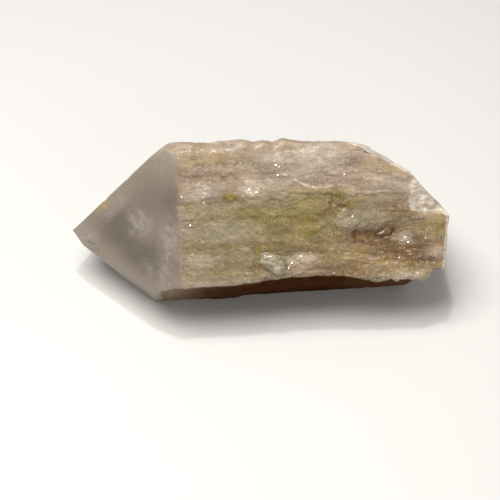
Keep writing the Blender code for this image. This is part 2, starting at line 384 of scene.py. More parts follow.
@dataclass(frozen=True)
class Overgrowth(OnFace):
    """A low crystal on a face, with a pointed end that faces the tip of the core.

    Attributes:
        face: Name of the face that it grows on.
        begin: Its end nearer the tip, along the face.
        end: Its other end.
        v: Its middle line, across the face.
        half_width: Half of its flat top.
        rise: How far its top stands out.
        bluntness: How far both ends are cut back from a point.
        far_slope: How steeply its far end drops, in degrees.
        turn: Its own turn on the face, in degrees.
    """

    face: str
    begin: float
    end: float
    v: float
    half_width: float
    rise: float
    bluntness: float = 0.0
    far_slope: float = 38.0
    turn: float = 0.0

    def planes(self) -> list[Plane]:
        """Its planes as (normal, point): top, foot, and the sides and ends at the angles of quartz."""
        along, across, out = self.axes()
        middle = self.middle()
        reach = along * ((self.end - self.begin) / 2)
        found = [(out, middle + out * self.rise), (-out, middle - out * ROOT_DEPTH)]
        near, far = math.radians(90.0 - RHOMB_TILT), math.radians(self.far_slope)
        for sixth in (-SIXTH, 0.0, SIXTH):
            angle = math.radians(sixth)
            radial = out * math.cos(angle) + across * math.sin(angle)
            if sixth:
                edge = middle + out * self.rise + across * math.copysign(self.half_width, sixth)
                found.append((radial, edge))
            back = along * (self.bluntness if sixth else 0.0)
            found.append((radial * math.cos(near) - along * math.sin(near), middle - reach - back))
            found.append((radial * math.cos(far) + along * math.sin(far), middle + reach + back))
        return found

    def spine(self) -> tuple[Array, Array]:
        """The two ends of a line inside it, from which its surface is seen whole."""
        along, _, out = self.axes()
        inner = min(self.half_width + 1.0, 0.38 * (self.end - self.begin))
        reach = along * ((self.end - self.begin) / 2 - inner)
        low = self.middle() - out * (0.5 * ROOT_DEPTH - 0.2 * self.rise)
        return low - reach, low + reach


@dataclass(frozen=True)
class Lump(OnFace):
    """A faceted knob on a face, with its own length, width and rise, and flats set by its seed."""

    face: str
    a: float
    v: float
    length: float
    width: float
    rise: float
    turn: float = 0.0
    seed: int = 0
    flats: int = 7

    def centre(self) -> float:
        """How far along the face its middle is."""
        return self.a

    def planes(self) -> list[Plane]:
        """Its planes: flats that touch an ellipsoid, in a low ring and a high one, and its foot."""
        along, across, out = self.axes()
        middle = self.middle()
        chance = random.Random(self.seed)
        found = [(-out, middle - out * ROOT_DEPTH)]
        for ring, low, high in ((self.flats, 8.0, 35.0), (self.flats // 2 + 1, 48.0, 80.0)):
            for step in range(ring):
                heading = math.radians(360.0 * (step + chance.uniform(-0.3, 0.3)) / ring)
                steep = math.radians(chance.uniform(low, high))
                x = math.cos(steep) * math.cos(heading)
                y = math.cos(steep) * math.sin(heading)
                z = math.sin(steep)
                reach = math.hypot(x * self.length / 2, y * self.width / 2, z * self.rise)
                normal = along * x + across * y + out * z
                found.append((normal, middle + normal * reach))
        return found

    def spine(self) -> tuple[Array, Array]:
        """The two ends of a line inside it, from which its surface is seen whole."""
        along, _, out = self.axes()
        low = self.middle() - out * (0.3 * ROOT_DEPTH)
        reach = along * (0.5 * max(self.length - self.width, 0.2))
        return low - reach, low + reach


@dataclass(frozen=True)
class Groove(OnFace):
    """A crack or hollow cut into a face: a wedge with sloping walls and ends."""

    face: str
    begin: float
    end: float
    v: float
    width: float
    depth: float
    turn: float = 0.0
    end_slope: float = 30.0

    def solid(self) -> Solid:
        """What is cut away."""
        along, across, out = self.axes()
        middle = self.middle()
        half_length = (self.end - self.begin) / 2
        wall = math.atan2(self.depth, self.width / 2)
        ends = math.radians(self.end_slope)
        found = [(out, middle + out * HEADROOM)]
        for side in (-1.0, 1.0):
            wall_normal = across * side * math.sin(wall) - out * math.cos(wall)
            found.append((wall_normal, middle + across * side * self.width / 2))
            end_normal = along * side * math.sin(ends) - out * math.cos(ends)
            found.append((end_normal, middle + along * side * half_length))
        return Solid.inside(found)


@dataclass(frozen=True)
class Cut:
    """A solid that is taken away, the direction in which the surface gives way, and its age."""

    solid: Solid
    way: Array
    fresh: bool = False


# Two grown pieces that the plan names again: the glassy oval and the smooth lens of the front face.
OVAL = Lump("front", 68.0, 7.3, 10.5, 6.0, 2.8, -42.0, 3)
LENS = Overgrowth("front", 87.0, 107.0, 21.8, 2.6, 2.1, 0.4)
Growth = Overgrowth | Lump


class Habit:
    """The plan of the crystal: its core, what grows on it and what has broken off it.

    Attributes:
        SHOWN: How much of an overgrowth's height stands clear of the later skin, by face.
        SHOWN_ELSEWHERE: The same for the faces that aren't named.
        SHOWN_LENS: The same for the lens.
        SHOWN_KNOBS: The same for the front's knobs, below and above KNOBS_ABOVE across the face.
    """

    SHOWN = {"front": 0.30, "underside": 0.7, "back": 0.6, "back_low": 0.7}
    SHOWN_ELSEWHERE = 0.4
    SHOWN_LENS = 0.42
    SHOWN_KNOBS = (0.7, 0.45)
    KNOBS_ABOVE = 20.0

    def __init__(self) -> None:
        """Works out the core, the grown pieces and the cuts."""
        self.rhombs = [rhomb_plane(*rhomb) for rhomb in RHOMBS]
        self.core = Solid.inside(planes_of(FACES) + self.rhombs)
        self.grown = self.front_crystals() + self.scattered_crystals() + self.edge_lumps()
        self.grown += self.rim_lobes()
        self.solids = self._trimmed(self.grown)
        self.cuts = self.grooves() + self.chips()

    def level(self, index: int) -> float:
        """How much of an overgrowth's height still stands clear of the skin that has grown over it."""
        piece = self.grown[index]
        if piece == LENS:
            return self.SHOWN_LENS
        if piece.face == "front" and isinstance(piece, Lump):
            return self.SHOWN_KNOBS[piece.v > self.KNOBS_ABOVE]
        return self.SHOWN.get(piece.face, self.SHOWN_ELSEWHERE)

    def tone(self, index: int) -> float:
        """How much paler, or dimmer if below zero, an overgrowth is than the stone about it."""
        return 0.7 if self.grown[index] == LENS else 0.55 * math.sin(5.1 * index + 0.7)

    @staticmethod
    def _trimmed(pieces: list[Growth]) -> list[Solid]:
        """Each piece's solid, cut off at the point and just outside the sides that it isn't on.

        Args:
            pieces: The grown pieces, in order.

        Returns:
            Their solids. Each cut has its own depth, so that no two pieces end in one plane.
        """
        found = []
        for step, piece in enumerate(pieces):
            depth = STEP_BACK * (step + 1) / len(pieces)
            planes = piece.planes()
            planes += [rhomb_plane(turn, tilt, out - depth) for turn, tilt, out in RHOMBS]
            others = BREAKS if piece.face in SIDES else SIDES
            planes += [(face.out, face.start + face.out * depth) for face in others.values()]
            found.append(Solid.inside(planes))
        return found

    @staticmethod
    def crystals(*rows: tuple[float, ...]) -> list[Growth]:
        """Overgrowths on the front face, from rows of the values of Overgrowth."""
        return [Overgrowth("front", *row) for row in rows]

    @staticmethod
    def knobs(*rows: tuple[float, ...]) -> list[Growth]:
        """Knobs on the front face, from rows of the values of Lump."""
        return [Lump("front", *row) for row in rows]

    @classmethod
    def front_crystals(cls) -> list[Growth]:
        """The overgrowths on the front face, row by row from its lower edge to the top."""
        low = cls.crystals(
            (36.5, 64, 2.6, 2.2, 0.9, 1.6), (52, 86, 2.2, 1.8, 1.3, 1), (72, 95, 6.4, 3.4, 1.5, 1.8),
            (84, 105, 2.6, 1.7, 1.2, 1), (97, 122, 2.4, 2.8, 1.9, 2), (36, 62, 9.6, 3.2, 1.1, 1.5),
        )
        low_right = cls.crystals(
            (88, 112, 11.4, 3.6, 1.4, 1.6), (108, 126, 9, 3, 1.6, 1), (103, 125, 14.6, 2.6, 1.5, 1.4),
        )
        middle = cls.crystals(
            (35, 66, 18.6, 3.4, 1.8, 2.4), (63, 88, 14.6, 2.2, 1, 1), (60, 84, 21, 2.6, 0.9, 1.2),
        )
        middle_right = cls.crystals(
            (107, 126, 20.2, 1.8, 1.7, 1), (36, 54, 25.6, 1.7, 0.9, 0.8), (49, 78, 26.6, 2.2, 1, 1),
            (92, 115, 27.2, 2.2, 1, 1.2), (36.5, 57, 33.4, 3, 1.3, 1.5),
        )
        first_knob, second_knob = cls.knobs(
            (45.2, 33.8, 6.5, 6, 2.7, 10, 5), (61, 33.4, 6, 5.5, 2.5, 0, 8)
        )
        between = cls.crystals((54, 74, 33.2, 3, 1.2, 1.4))
        high = cls.crystals(
            (70, 98, 34.8, 3.2, 1.1, 1.6, 38, -5), (90, 114, 33.6, 2.8, 1, 1.4),
            (37, 55, 41.4, 2.4, 1, 1.2), (52, 74, 42.4, 2.8, 1.2, 1.2), (72, 94, 42, 2.4, 1.3, 1.2),
            (88, 108, 40.6, 2.2, 1, 1.2),
        )
        lower = [*low, OVAL, *low_right, *middle, LENS, *middle_right]
        return [*lower, first_knob, *between, second_knob, *high]

    @staticmethod
    def scattered_crystals() -> list[Growth]:
        """Smaller overgrowths, strewn over the front, the underside and the two back faces."""
        chance = random.Random(SEED)
        spreads = (
            ("front", 16, 45.0, 5.0, 14.0, 0.5, 1.2),
            ("underside", 10, 24.0, 10.0, 30.0, 0.6, 1.5),
            ("back", 30, 50.0, 12.0, 36.0, 0.7, 2.0),
            ("back_low", 11, 20.0, 12.0, 34.0, 0.7, 1.8),
        )
        found: list[Growth] = []
        for face, count, width, shortest, longest, least, most in spreads:
            for step in range(count):
                length = chance.uniform(shortest, longest)
                begin = chance.uniform(38.0, 116.0 - 0.6 * length)
                v = 3.0 + (width - 3.0) * ((step * 0.618) % 1.0)
                half_width = chance.uniform(0.09, 0.16) * length
                rise = chance.uniform(least, most)
                bluntness = 0.5 * half_width
                far_slope = chance.uniform(25.0, 60.0)
                end = begin + length
                found.append(Overgrowth(face, begin, end, v, half_width, rise, bluntness, far_slope))
        return found

    @staticmethod
    def edge_lumps() -> list[Growth]:
        """Knobs along the upper edge, under the front edge and on the broken end."""
        spreads = (
            ("underside", 6, (60.0, 114.0), (24.5, 27.5), (5.0, 9.0), (0.8, 1.6)),
            ("blunt", 6, (4.0, 28.0), (-16.0, 0.0), (6.0, 9.0), (0.7, 1.4)),
            ("slope", 7, (4.0, 20.0), (-20.0, -5.0), (7.0, 12.0), (0.5, 1.0)),
            ("shoulder", 9, (4.0, 32.0), (-32.0, -4.0), (8.0, 12.0), (0.7, 1.4)),
        )
        chance = random.Random(SEED + 1)
        found: list[Growth] = [Lump("slope", 1.5, -5.0, 6.5, 5.0, 1.3, 0.0, SEED)]
        for face, count, a_range, v_range, sizes, rises in spreads:
            for step in range(count):
                share = (step + chance.uniform(0.2, 0.8)) / count
                a = a_range[0] + share * (a_range[1] - a_range[0])
                v = chance.uniform(*v_range)
                length = chance.uniform(*sizes)
                width = length * chance.uniform(0.6, 0.9)
                rise, turn = chance.uniform(*rises), chance.uniform(-30.0, 30.0)
                found.append(Lump(face, a, v, length, width, rise, turn, len(found), 6))
        return found

    @classmethod
    def rim_lobes(cls) -> list[Growth]:
        """Rounded knobs along the right half of the lower front edge, and small ones at its left."""
        return cls.knobs(
            (97.5, 1.2, 7, 4.4, 1.5, -6, 41, 8), (104.5, 0.6, 8, 5, 1.7, 4, 42, 8),
            (111.5, 1.4, 7.5, 5.2, 2, -8, 43, 8), (118, 0.8, 7, 5.4, 2, 10, 44, 8),
            (115, 5, 6, 3.6, 1.4, 0, 45, 7), (122, 7.6, 5, 4.6, 1.6, 0, 46, 6),
            (79, 8.6, 7, 3.4, 1.2, -8, 47, 7), (86, 6, 8, 4, 1, 0, 48, 7),
            (38.8, 1.6, 4.6, 3, 0.9, 0, 49, 6), (40.5, 8.8, 4.4, 3, 1, 0, 50, 6),
            (38.6, 30.6, 3.4, 2.6, 0.9, 0, 51, 6),
        )

    @staticmethod
    def grooves() -> list[Cut]:
        """The cracks and hollows between the overgrowths, and those in the hidden faces."""
        found = [
            Groove("front", 95.0, 109.0, 16.4, 3.6, 0.6, 4.0),
            Groove("front", 86.5, 91.5, 27.2, 1.0, 0.5, -30.0),
            Groove("front", 118.0, 129.0, 6.0, 0.7, 0.3, -6.0),
        ]
        chance = random.Random(SEED + 2)
        rows = (("rest", 8.0, 3), ("rest", 19.0, 3), ("back", 33.0, 3), ("back_low", 9.0, 2))
        for face, v, count in rows:
            for step in range(count):
                begin = 38.0 + 62.0 * (step + chance.uniform(0.0, 0.5)) / count
                length, width = chance.uniform(9.0, 18.0), chance.uniform(2.0, 4.0)
                middle = v + chance.uniform(-3.0, 3.0)
                turn = chance.uniform(-6.0, 6.0)
                deep = 0.4 if face == "rest" else 0.16
                found.append(Groove(face, begin, begin + length, middle, width, deep * width, turn))
        return [Cut(groove.solid(), -FACES[groove.face].out) for groove in found]

    @staticmethod
    def chips() -> list[Cut]:
        """What broke off at the end of the front face: above a step, and at its low corner."""
        front = SIDES["front"]
        slope, fall = math.radians(24.0), math.radians(9.0)
        floor = front.out * math.cos(slope) + front.along * math.sin(slope)
        step = front.across * math.cos(fall) + front.along * math.sin(fall)
        upper = [(-floor, front.point(113.5, 30.0)), (-step, front.point(113.5, 24.4))]
        wall = front.along * math.cos(fall) - front.out * math.sin(fall)
        lower = [(-wall, front.point(122.0, 0.0)), (step, front.point(122.0, 3.6))]
        rim = unit(front.out + SIDES["underside"].out)
        fade = math.radians(6.0)
        worn = [(-rim, front.point(60.0, 0.0) - rim * 0.8)]
        for along, a in ((front.along, 58.0), (-front.along, 97.0)):
            worn.append((-rim * math.cos(fade) - along * math.sin(fade), front.point(a, 0.0)))
        return [
            Cut(Solid.inside(upper), -front.out, True),
            Cut(Solid.inside(lower), -front.along, True),
            Cut(Solid.inside(worn), -rim),
        ]


@dataclass(frozen=True)
class Spot:
    """A soft oval of colour on a face: its middle, its half sizes, its strength and its turn."""

    a: float
    v: float
    along: float
    across: float
    strength: float = 1.0
    turn: float = 0.0

    def mask(self, a: Array, v: Array) -> Array:
        """How strongly the oval colours each place: full at its middle, none at 1.7 times its size."""
        angle = math.radians(self.turn)
        along = (a - self.a) * math.cos(angle) + (v - self.v) * math.sin(angle)
        across = (v - self.v) * math.cos(angle) - (a - self.a) * math.sin(angle)
        far = np.hypot(along / self.along, across / self.across)
        return self.strength * (1.0 - smooth(0.1, 1.7, far))


class Tint(Enum):
    """The colours laid over the milky stone, each held as a point attribute of this name."""

    SATIN = "satin"
    CREVICE = "crevice"
    FRESH = "fresh"
    # The underside: partly rust stain, partly painted shade.
    UNDER = "under"
    GREEN = "green"
    RUST = "rust"
    PINK = "pink"
    PALE = "pale"
    OLIVE = "olive"
    CLOUD = "cloud"
    AMBER = "amber"
    CRACK = "crack"
    SMOKE = "smoke"
    MIST = "mist"
    UMBER = "umber"
    DIM = "dim"
    DULL = "dull"


def ovals(*rows: tuple[float, ...]) -> tuple[Spot, ...]:
    """Ovals of colour, from rows of the values of Spot."""
    return tuple(Spot(*row) for row in rows)


def coverage(spots: tuple[Spot, ...], a: Array, v: Array) -> Array:
    """How strongly all of these ovals together colour each place."""
    return sum(spot.mask(a, v) for spot in spots)


# The stains of the front face, and the painted shade of the hollow below the lens.
SPOTS: dict[Tint, tuple[Spot, ...]] = {
    Tint.OLIVE: ovals(
        (50, 14, 24, 13, 0.95), (78, 18, 26, 14, 1), (110, 14, 24, 14, 1),
    ),
    Tint.GREEN: ovals(
        (72, 23.5, 22, 7.5, 0.75), (80.5, 26.7, 9, 4.6, 0.6), (88.6, 27.4, 5.2, 4.4, 1.2),
        (53.3, 31.1, 3.6, 1.7, 0.7), (39.5, 27.3, 4, 2, 0.6), (61.8, 13.9, 1.2, 2.6, 1.3),
        (63, 18.6, 5, 2.2, 0.5), (122.5, 18.8, 5, 3.4, 0.6), (52, 6.5, 10, 2.6, 0.3),
        (82, 16, 11, 4, 0.5), (60, 25.6, 8, 1.2, 0.8),
    ),
    Tint.UMBER: ovals(
        (108, 18.5, 12, 6.5, 0.9), (96, 16.6, 8, 2.4, 0.6), (111, 11, 13, 5.5, 0.8),
        (86, 11, 12, 4.5, 0.4), (89, 26, 6, 4, 0.5), (118, 25, 9, 4, 0.6), (94, 3, 16, 3, 0.5),
        (50, 44.5, 8, 2.5, 0.3),
    ),
    Tint.RUST: ovals(
        # The first three ovals darken the hollow below the lens: partly its rust stain, partly painted
        # shade.
        (102.2, 16.4, 8, 2.2, 1.8), (102.5, 14.6, 9, 1.8, 1.2, 4), (96.5, 16.4, 4, 1.5, 0.9),
        (93.5, 42.2, 4.5, 2.6, 0.55), (112, 11.5, 8.5, 3.4, 0.6), (117, 7, 7, 3, 0.6),
        (92, 5, 10, 1.8, 0.45), (110, 27.5, 6, 2.4, 0.35), (48, 38.5, 7, 2, 0.3),
    ),
    Tint.PINK: ovals(
        (123.2, 9.6, 4.2, 2.6, 1), (57, 38, 9, 3.6, 0.35), (42, 38, 5, 3, 0.25), (95, 36, 16, 4.5, 0.3),
        (84, 5, 7, 2.6, 0.5), (104, 5, 8, 2.2, 0.4),
    ),
    Tint.PALE: ovals(
        (45.2, 33.8, 4.2, 2.2, 0.4), (61, 33.3, 3.6, 2.4, 0.65), (83, 44.5, 12, 2, 0.5),
        (119.5, 30, 5.6, 7, 0.9, 20), (78, 8.8, 5, 2, 0.45), (112, 14.4, 3, 1.6, 0.6),
        (112, 1.5, 6, 1.6, 0.5), (44, 8.5, 5, 3, 0.25), (123.5, 9.2, 3, 2.4, 0.5),
    ),
    Tint.CLOUD: ovals(
        (51, 18.8, 15, 3.6, 0.9), (97, 21.4, 10, 2.8, 1), (93, 13.2, 5, 2.4, 0.6),
        (75, 31.5, 5, 2.2, 0.4),
    ),
    Tint.AMBER: ovals(
        (42, 45, 9, 3, 0.35), (39.5, 42.5, 4, 2.4, 0.25), (108, 40, 12, 3, 0.45),
        (55, 44.5, 8, 1.6, 0.25), (76.5, 32, 5, 2, 0.5), (112, 6, 14, 5, 0.7), (99, 9, 14, 5, 0.5),
        (119, 19, 7, 6, 0.7),
    ),
}

# Where the front face is rougher than elsewhere.
RUGGED = ovals(
    (41, 12, 7, 14, 0.5), (112, 8, 16, 9, 0.6), (84, 5, 9, 4, 0.4), (60, 47, 60, 2.5, 0.2),
    (90, 28, 5, 3, 0.5),
)

# Where each druse grows on the front face.
LOW_RIGHT = ovals((112.0, 2.0, 9.0, 2.6), (108.0, 14.0, 6.0, 4.0, 0.7))
KNOBS = ovals((45.2, 33.8, 3.2, 2.0), (61.0, 33.3, 2.8, 2.0))
HOLLOW = Spot(102.0, 16.8, 7.0, 2.8, 2.0)
GOLDEN = ovals(
    (112, 2.5, 9, 3), (107, 9, 7, 2.4, 0.5), (40, 10, 3, 10, 0.35), (97, 12.5, 5, 2, 0.4),
    (89, 26.5, 2.6, 2.6, 0.6), (73, 6.5, 3, 1.6, 0.6),
)

# The colours and small flaws of the point's front face.
POINT_SPOTS: dict[Tint, tuple[Spot, ...]] = {
    Tint.SMOKE: ovals(
        (19, 5, 9, 6, 0.8, 10), (25, 8, 6, 4, 0.4, 10), (36, 17, 11, 7, 0.6, 40),
        (37, -4, 11, 7, 0.8, -10), (25, -3, 10, 5, 0.5, -20), (45, 14, 4, 10, 0.6),
        (32, 2, 14, 9, 0.25),
    ),
    Tint.MIST: ovals(
        (30.5, 8, 5, 4, 0.85, 30), (43, 4, 4, 8, 0.8), (34, -7.5, 4, 2.6, 0.4), (42, -10, 4, 6, 0.5),
        (40, 33, 6, 6, 0.4), (3, 0.5, 6, 4, 0.9), (20, 14, 8, 3, 0.5, 42),
    ),
    Tint.CRACK: ovals(
        (7.7, -2.8, 0.7, 0.45, 1), (9.7, -3.1, 0.5, 0.4, 0.8), (11.4, -4.9, 0.45, 0.35, 0.8),
        (3.6, 1, 0.5, 0.3, 0.5), (8.9, -3.6, 0.4, 0.3, 0.6), (34.8, -9, 0.6, 0.35, 0.5),
        (31.6, -9.2, 0.5, 0.35, 0.5),
    ),
    Tint.AMBER: ovals(
        (14.6, 12, 4, 1.6, 0.45, 42),
    ),
}


@dataclass(frozen=True)
class Crack:
    """A thin ragged line on the front: its two ends, its place across, width, strength and slope."""

    begin: float
    end: float
    v: float
    width: float = 0.3
    strength: float = 1.0
    slope: float = 0.0

    def mask(self, a: Array, v: Array, noise: Noise) -> Array:
        """How strongly each place is cracked.

        Formula: the crack's line wanders by noise along its length; its strength falls off on both
        sides of the line, towards both ends, and where a second noise is low.

        Args:
            a: Each place along the face.
            v: Each place across it.
            noise: The noise.

        Returns:
            The strength at each place.
        """
        level = np.stack([a * 0.16, np.full_like(a, self.v), np.full_like(a, self.begin)], axis=-1)
        line = self.v + self.slope * (a - self.begin) + 1.1 * noise.fractal(level, 3)
        aside = 1.0 - smooth(0.3 * self.width, 1.3 * self.width, np.abs(v - line))
        begun = smooth(self.begin - 1.0, self.begin + 1.0, a)
        within = begun * (1.0 - smooth(self.end - 1.0, self.end + 1.0, a))
        broken = smooth(-0.35, 0.05, noise.fractal(level * [3.0, 1.0, 1.0] + 9.0, 2))
        return self.strength * aside * within * broken


def lines(*rows: tuple[float, ...]) -> tuple[Crack, ...]:
    """Thin ragged lines, from rows of the values of Crack."""
    return tuple(Crack(*row) for row in rows)


# The underside's dark red-brown, partly its rust stain and partly painted shade: how far up the front's
# edge it comes, and how strong it is, along x.
RIM_LINE = ((36.0, 52.0, 65.0, 72.0, 92.0, 101.0, 118.0), (-0.6, -0.4, 1.1, 2.1, 2.1, -0.2, -2.0))
UNDER_STAIN_SHADE_LINE = ((34.0, 46.0, 62.0, 90.0, 98.0, 124.0), (0.4, 0.92, 1.0, 1.0, 0.95, 0.85))

# Dark cracks and pale veins of the front face.
CRACKS = lines(
    (53.5, 62.5, 24.2, 0.24, 0.6), (38, 50.5, 22.4, 0.22, 0.5), (42.5, 53, 13.4, 0.22, 0.5),
    (37.2, 43, 7.6, 0.26, 0.6), (37.5, 42.5, 27.8, 0.22, 0.4), (86, 91, 26.8, 0.26, 0.5),
    (117, 127, 5.8, 0.3, 0.4), (99, 112, 4.8, 0.24, 0.3), (100, 109, 12.2, 0.24, 0.3),
)

VEINS = lines(
    (71, 82, 38.4, 0.4, 0.7, -0.5), (81, 93, 33.4, 0.4, 0.6, 0.05), (96, 108, 31, 0.35, 0.5, 0.1),
    (68, 80, 45, 0.5, 0.6, 0.1), (98, 124, 36, 0.35, 0.4, -0.15), (92, 104, 8.8, 0.4, 0.5, -0.1),
    (60, 76, 9.5, 0.35, 0.3, 0.2), (86, 100, 12, 0.35, 0.4, -0.25),
)


@dataclass
class Surface:
    """A grid of points, with what is known of each point.

    Attributes:
        points: Positions in the working frame, shaped (rows, columns, 3).
        normals: Outward directions, shaped as points.
        tints: Strength of each colour at each point, shaped (rows, columns).
    """

    points: Array
    normals: Array
    tints: dict[Tint, Array] = field(default_factory=dict)


def blurred(values: Array, rounds: int) -> Array:
    """A grid field, smoothed by averaging with its neighbours this many times; columns are a ring."""
    for _ in range(rounds):
        values = (np.roll(values, 1, axis=1) + 2.0 * values + np.roll(values, -1, axis=1)) / 4.0
        padded = np.pad(values, ((1, 1), (0, 0)), mode="edge")
        values = (padded[:-2] + 2.0 * values + padded[2:]) / 4.0
    return values


def grid_normals(points: Array) -> Array:
    """Outward directions of a grid whose columns are a ring: the cross product of its two tangents."""
    round_way = np.roll(points, -1, axis=1) - np.roll(points, 1, axis=1)
    along_way = np.gradient(points, axis=0)
    normals = np.cross(round_way, along_way)
    length = np.linalg.norm(normals, axis=-1, keepdims=True)
    return normals / np.maximum(length, 1e-12)


def ring_faces(rows: int, columns: int) -> list[Array]:
    """Faces of a closed grid: quads between rows, and fans of triangles round a pole at each end.

    The poles are the vertices rows * columns and rows * columns + 1.
    """
    row, column = np.meshgrid(np.arange(rows - 1), np.arange(columns), indexing="ij")
    after = (column + 1) % columns
    here, beside = row * columns + column, row * columns + after
    quads = np.stack([here, beside, beside + columns, here + columns], axis=-1).reshape(-1, 4)
    around = np.arange(columns)
    following = (around + 1) % columns
    first = np.full(columns, rows * columns)
    start = np.stack([first, following, around], axis=-1)
    base = (rows - 1) * columns
    end = np.stack([first + 1, base + around, base + following], axis=-1)
    return [quads, start, end]


class Maker:
    """Puts worked-out surfaces into the scene, in the frame's place and in metres."""

    def __init__(self, tip_x: float, shift_y: float) -> None:
        """Takes where the working frame's x = 0 and y = 0 lie in the frame, in millimetres."""
        self.shift = np.array([tip_x, shift_y, 0.0])

    def placed(self, points: Array) -> Array:
        """Working-frame points in the frame, in metres."""
        return (points + self.shift) * METRES_PER_MM

    def working(self, place: tuple[float, ...]) -> Array:
        """A place of the frame, in metres, in the working frame."""
        return np.array(place) / METRES_PER_MM - self.shift

    def mesh(self, name: str, points: Array, faces: list[Array], soft: bool) -> Piece:
        """Makes a mesh object at the origin from whole arrays of points and faces.

        Args:
            name: The piece's name.
            points: Positions in the working frame, one a row.
            faces: Arrays of corner indices, each with its own number of corners.
            soft: Whether its shading is smooth.

        Returns:
            The object.
        """
        sizes = np.concatenate([np.full(len(part), part.shape[1]) for part in faces])
        corners = np.concatenate([part.ravel() for part in faces]).astype(np.int32)
        starts = np.concatenate([[0], np.cumsum(sizes)[:-1]]).astype(np.int32)
        mesh = bpy.data.meshes.new(name)
        mesh.vertices.add(len(points))
        mesh.vertices.foreach_set("co", self.placed(points).astype(np.float32).ravel())
        mesh.loops.add(len(corners))
        mesh.loops.foreach_set("vertex_index", corners)
        mesh.polygons.add(len(sizes))
        mesh.polygons.foreach_set("loop_start", starts)
        mesh.polygons.foreach_set("use_smooth", np.full(len(sizes), soft))
        mesh.update(calc_edges=True)
        mesh.validate()
        piece = bpy.data.objects.new(name, mesh)
        bpy.context.scene.collection.objects.link(piece)
        return piece

    @staticmethod
    def colour(piece: Piece, tints: dict[Tint, Array]) -> None:
        """Keeps each colour's strength at each vertex as an attribute of the piece."""
        for tint, values in tints.items():
            layer = piece.data.attributes.new(tint.value, "FLOAT", "POINT")
            layer.data.foreach_set("value", values.astype(np.float32))

    def closed_surface(self, name: str, surface: Surface, poles: Array) -> Piece:
        """Makes a closed piece from a ring grid and its two poles, with its colours.

        Args:
            name: The piece's name.
            surface: The grid.
            poles: The two poles.

        Returns:
            The piece.
        """
        rows, columns = surface.points.shape[:2]
        points = np.concatenate([surface.points.reshape(-1, 3), poles])
        piece = self.mesh(name, points, ring_faces(rows, columns), True)
        tints = surface.tints.items()
        self.colour(
            piece, {tint: np.append(part, [part[0].mean(), part[-1].mean()]) for tint, part in tints}
        )
        return piece


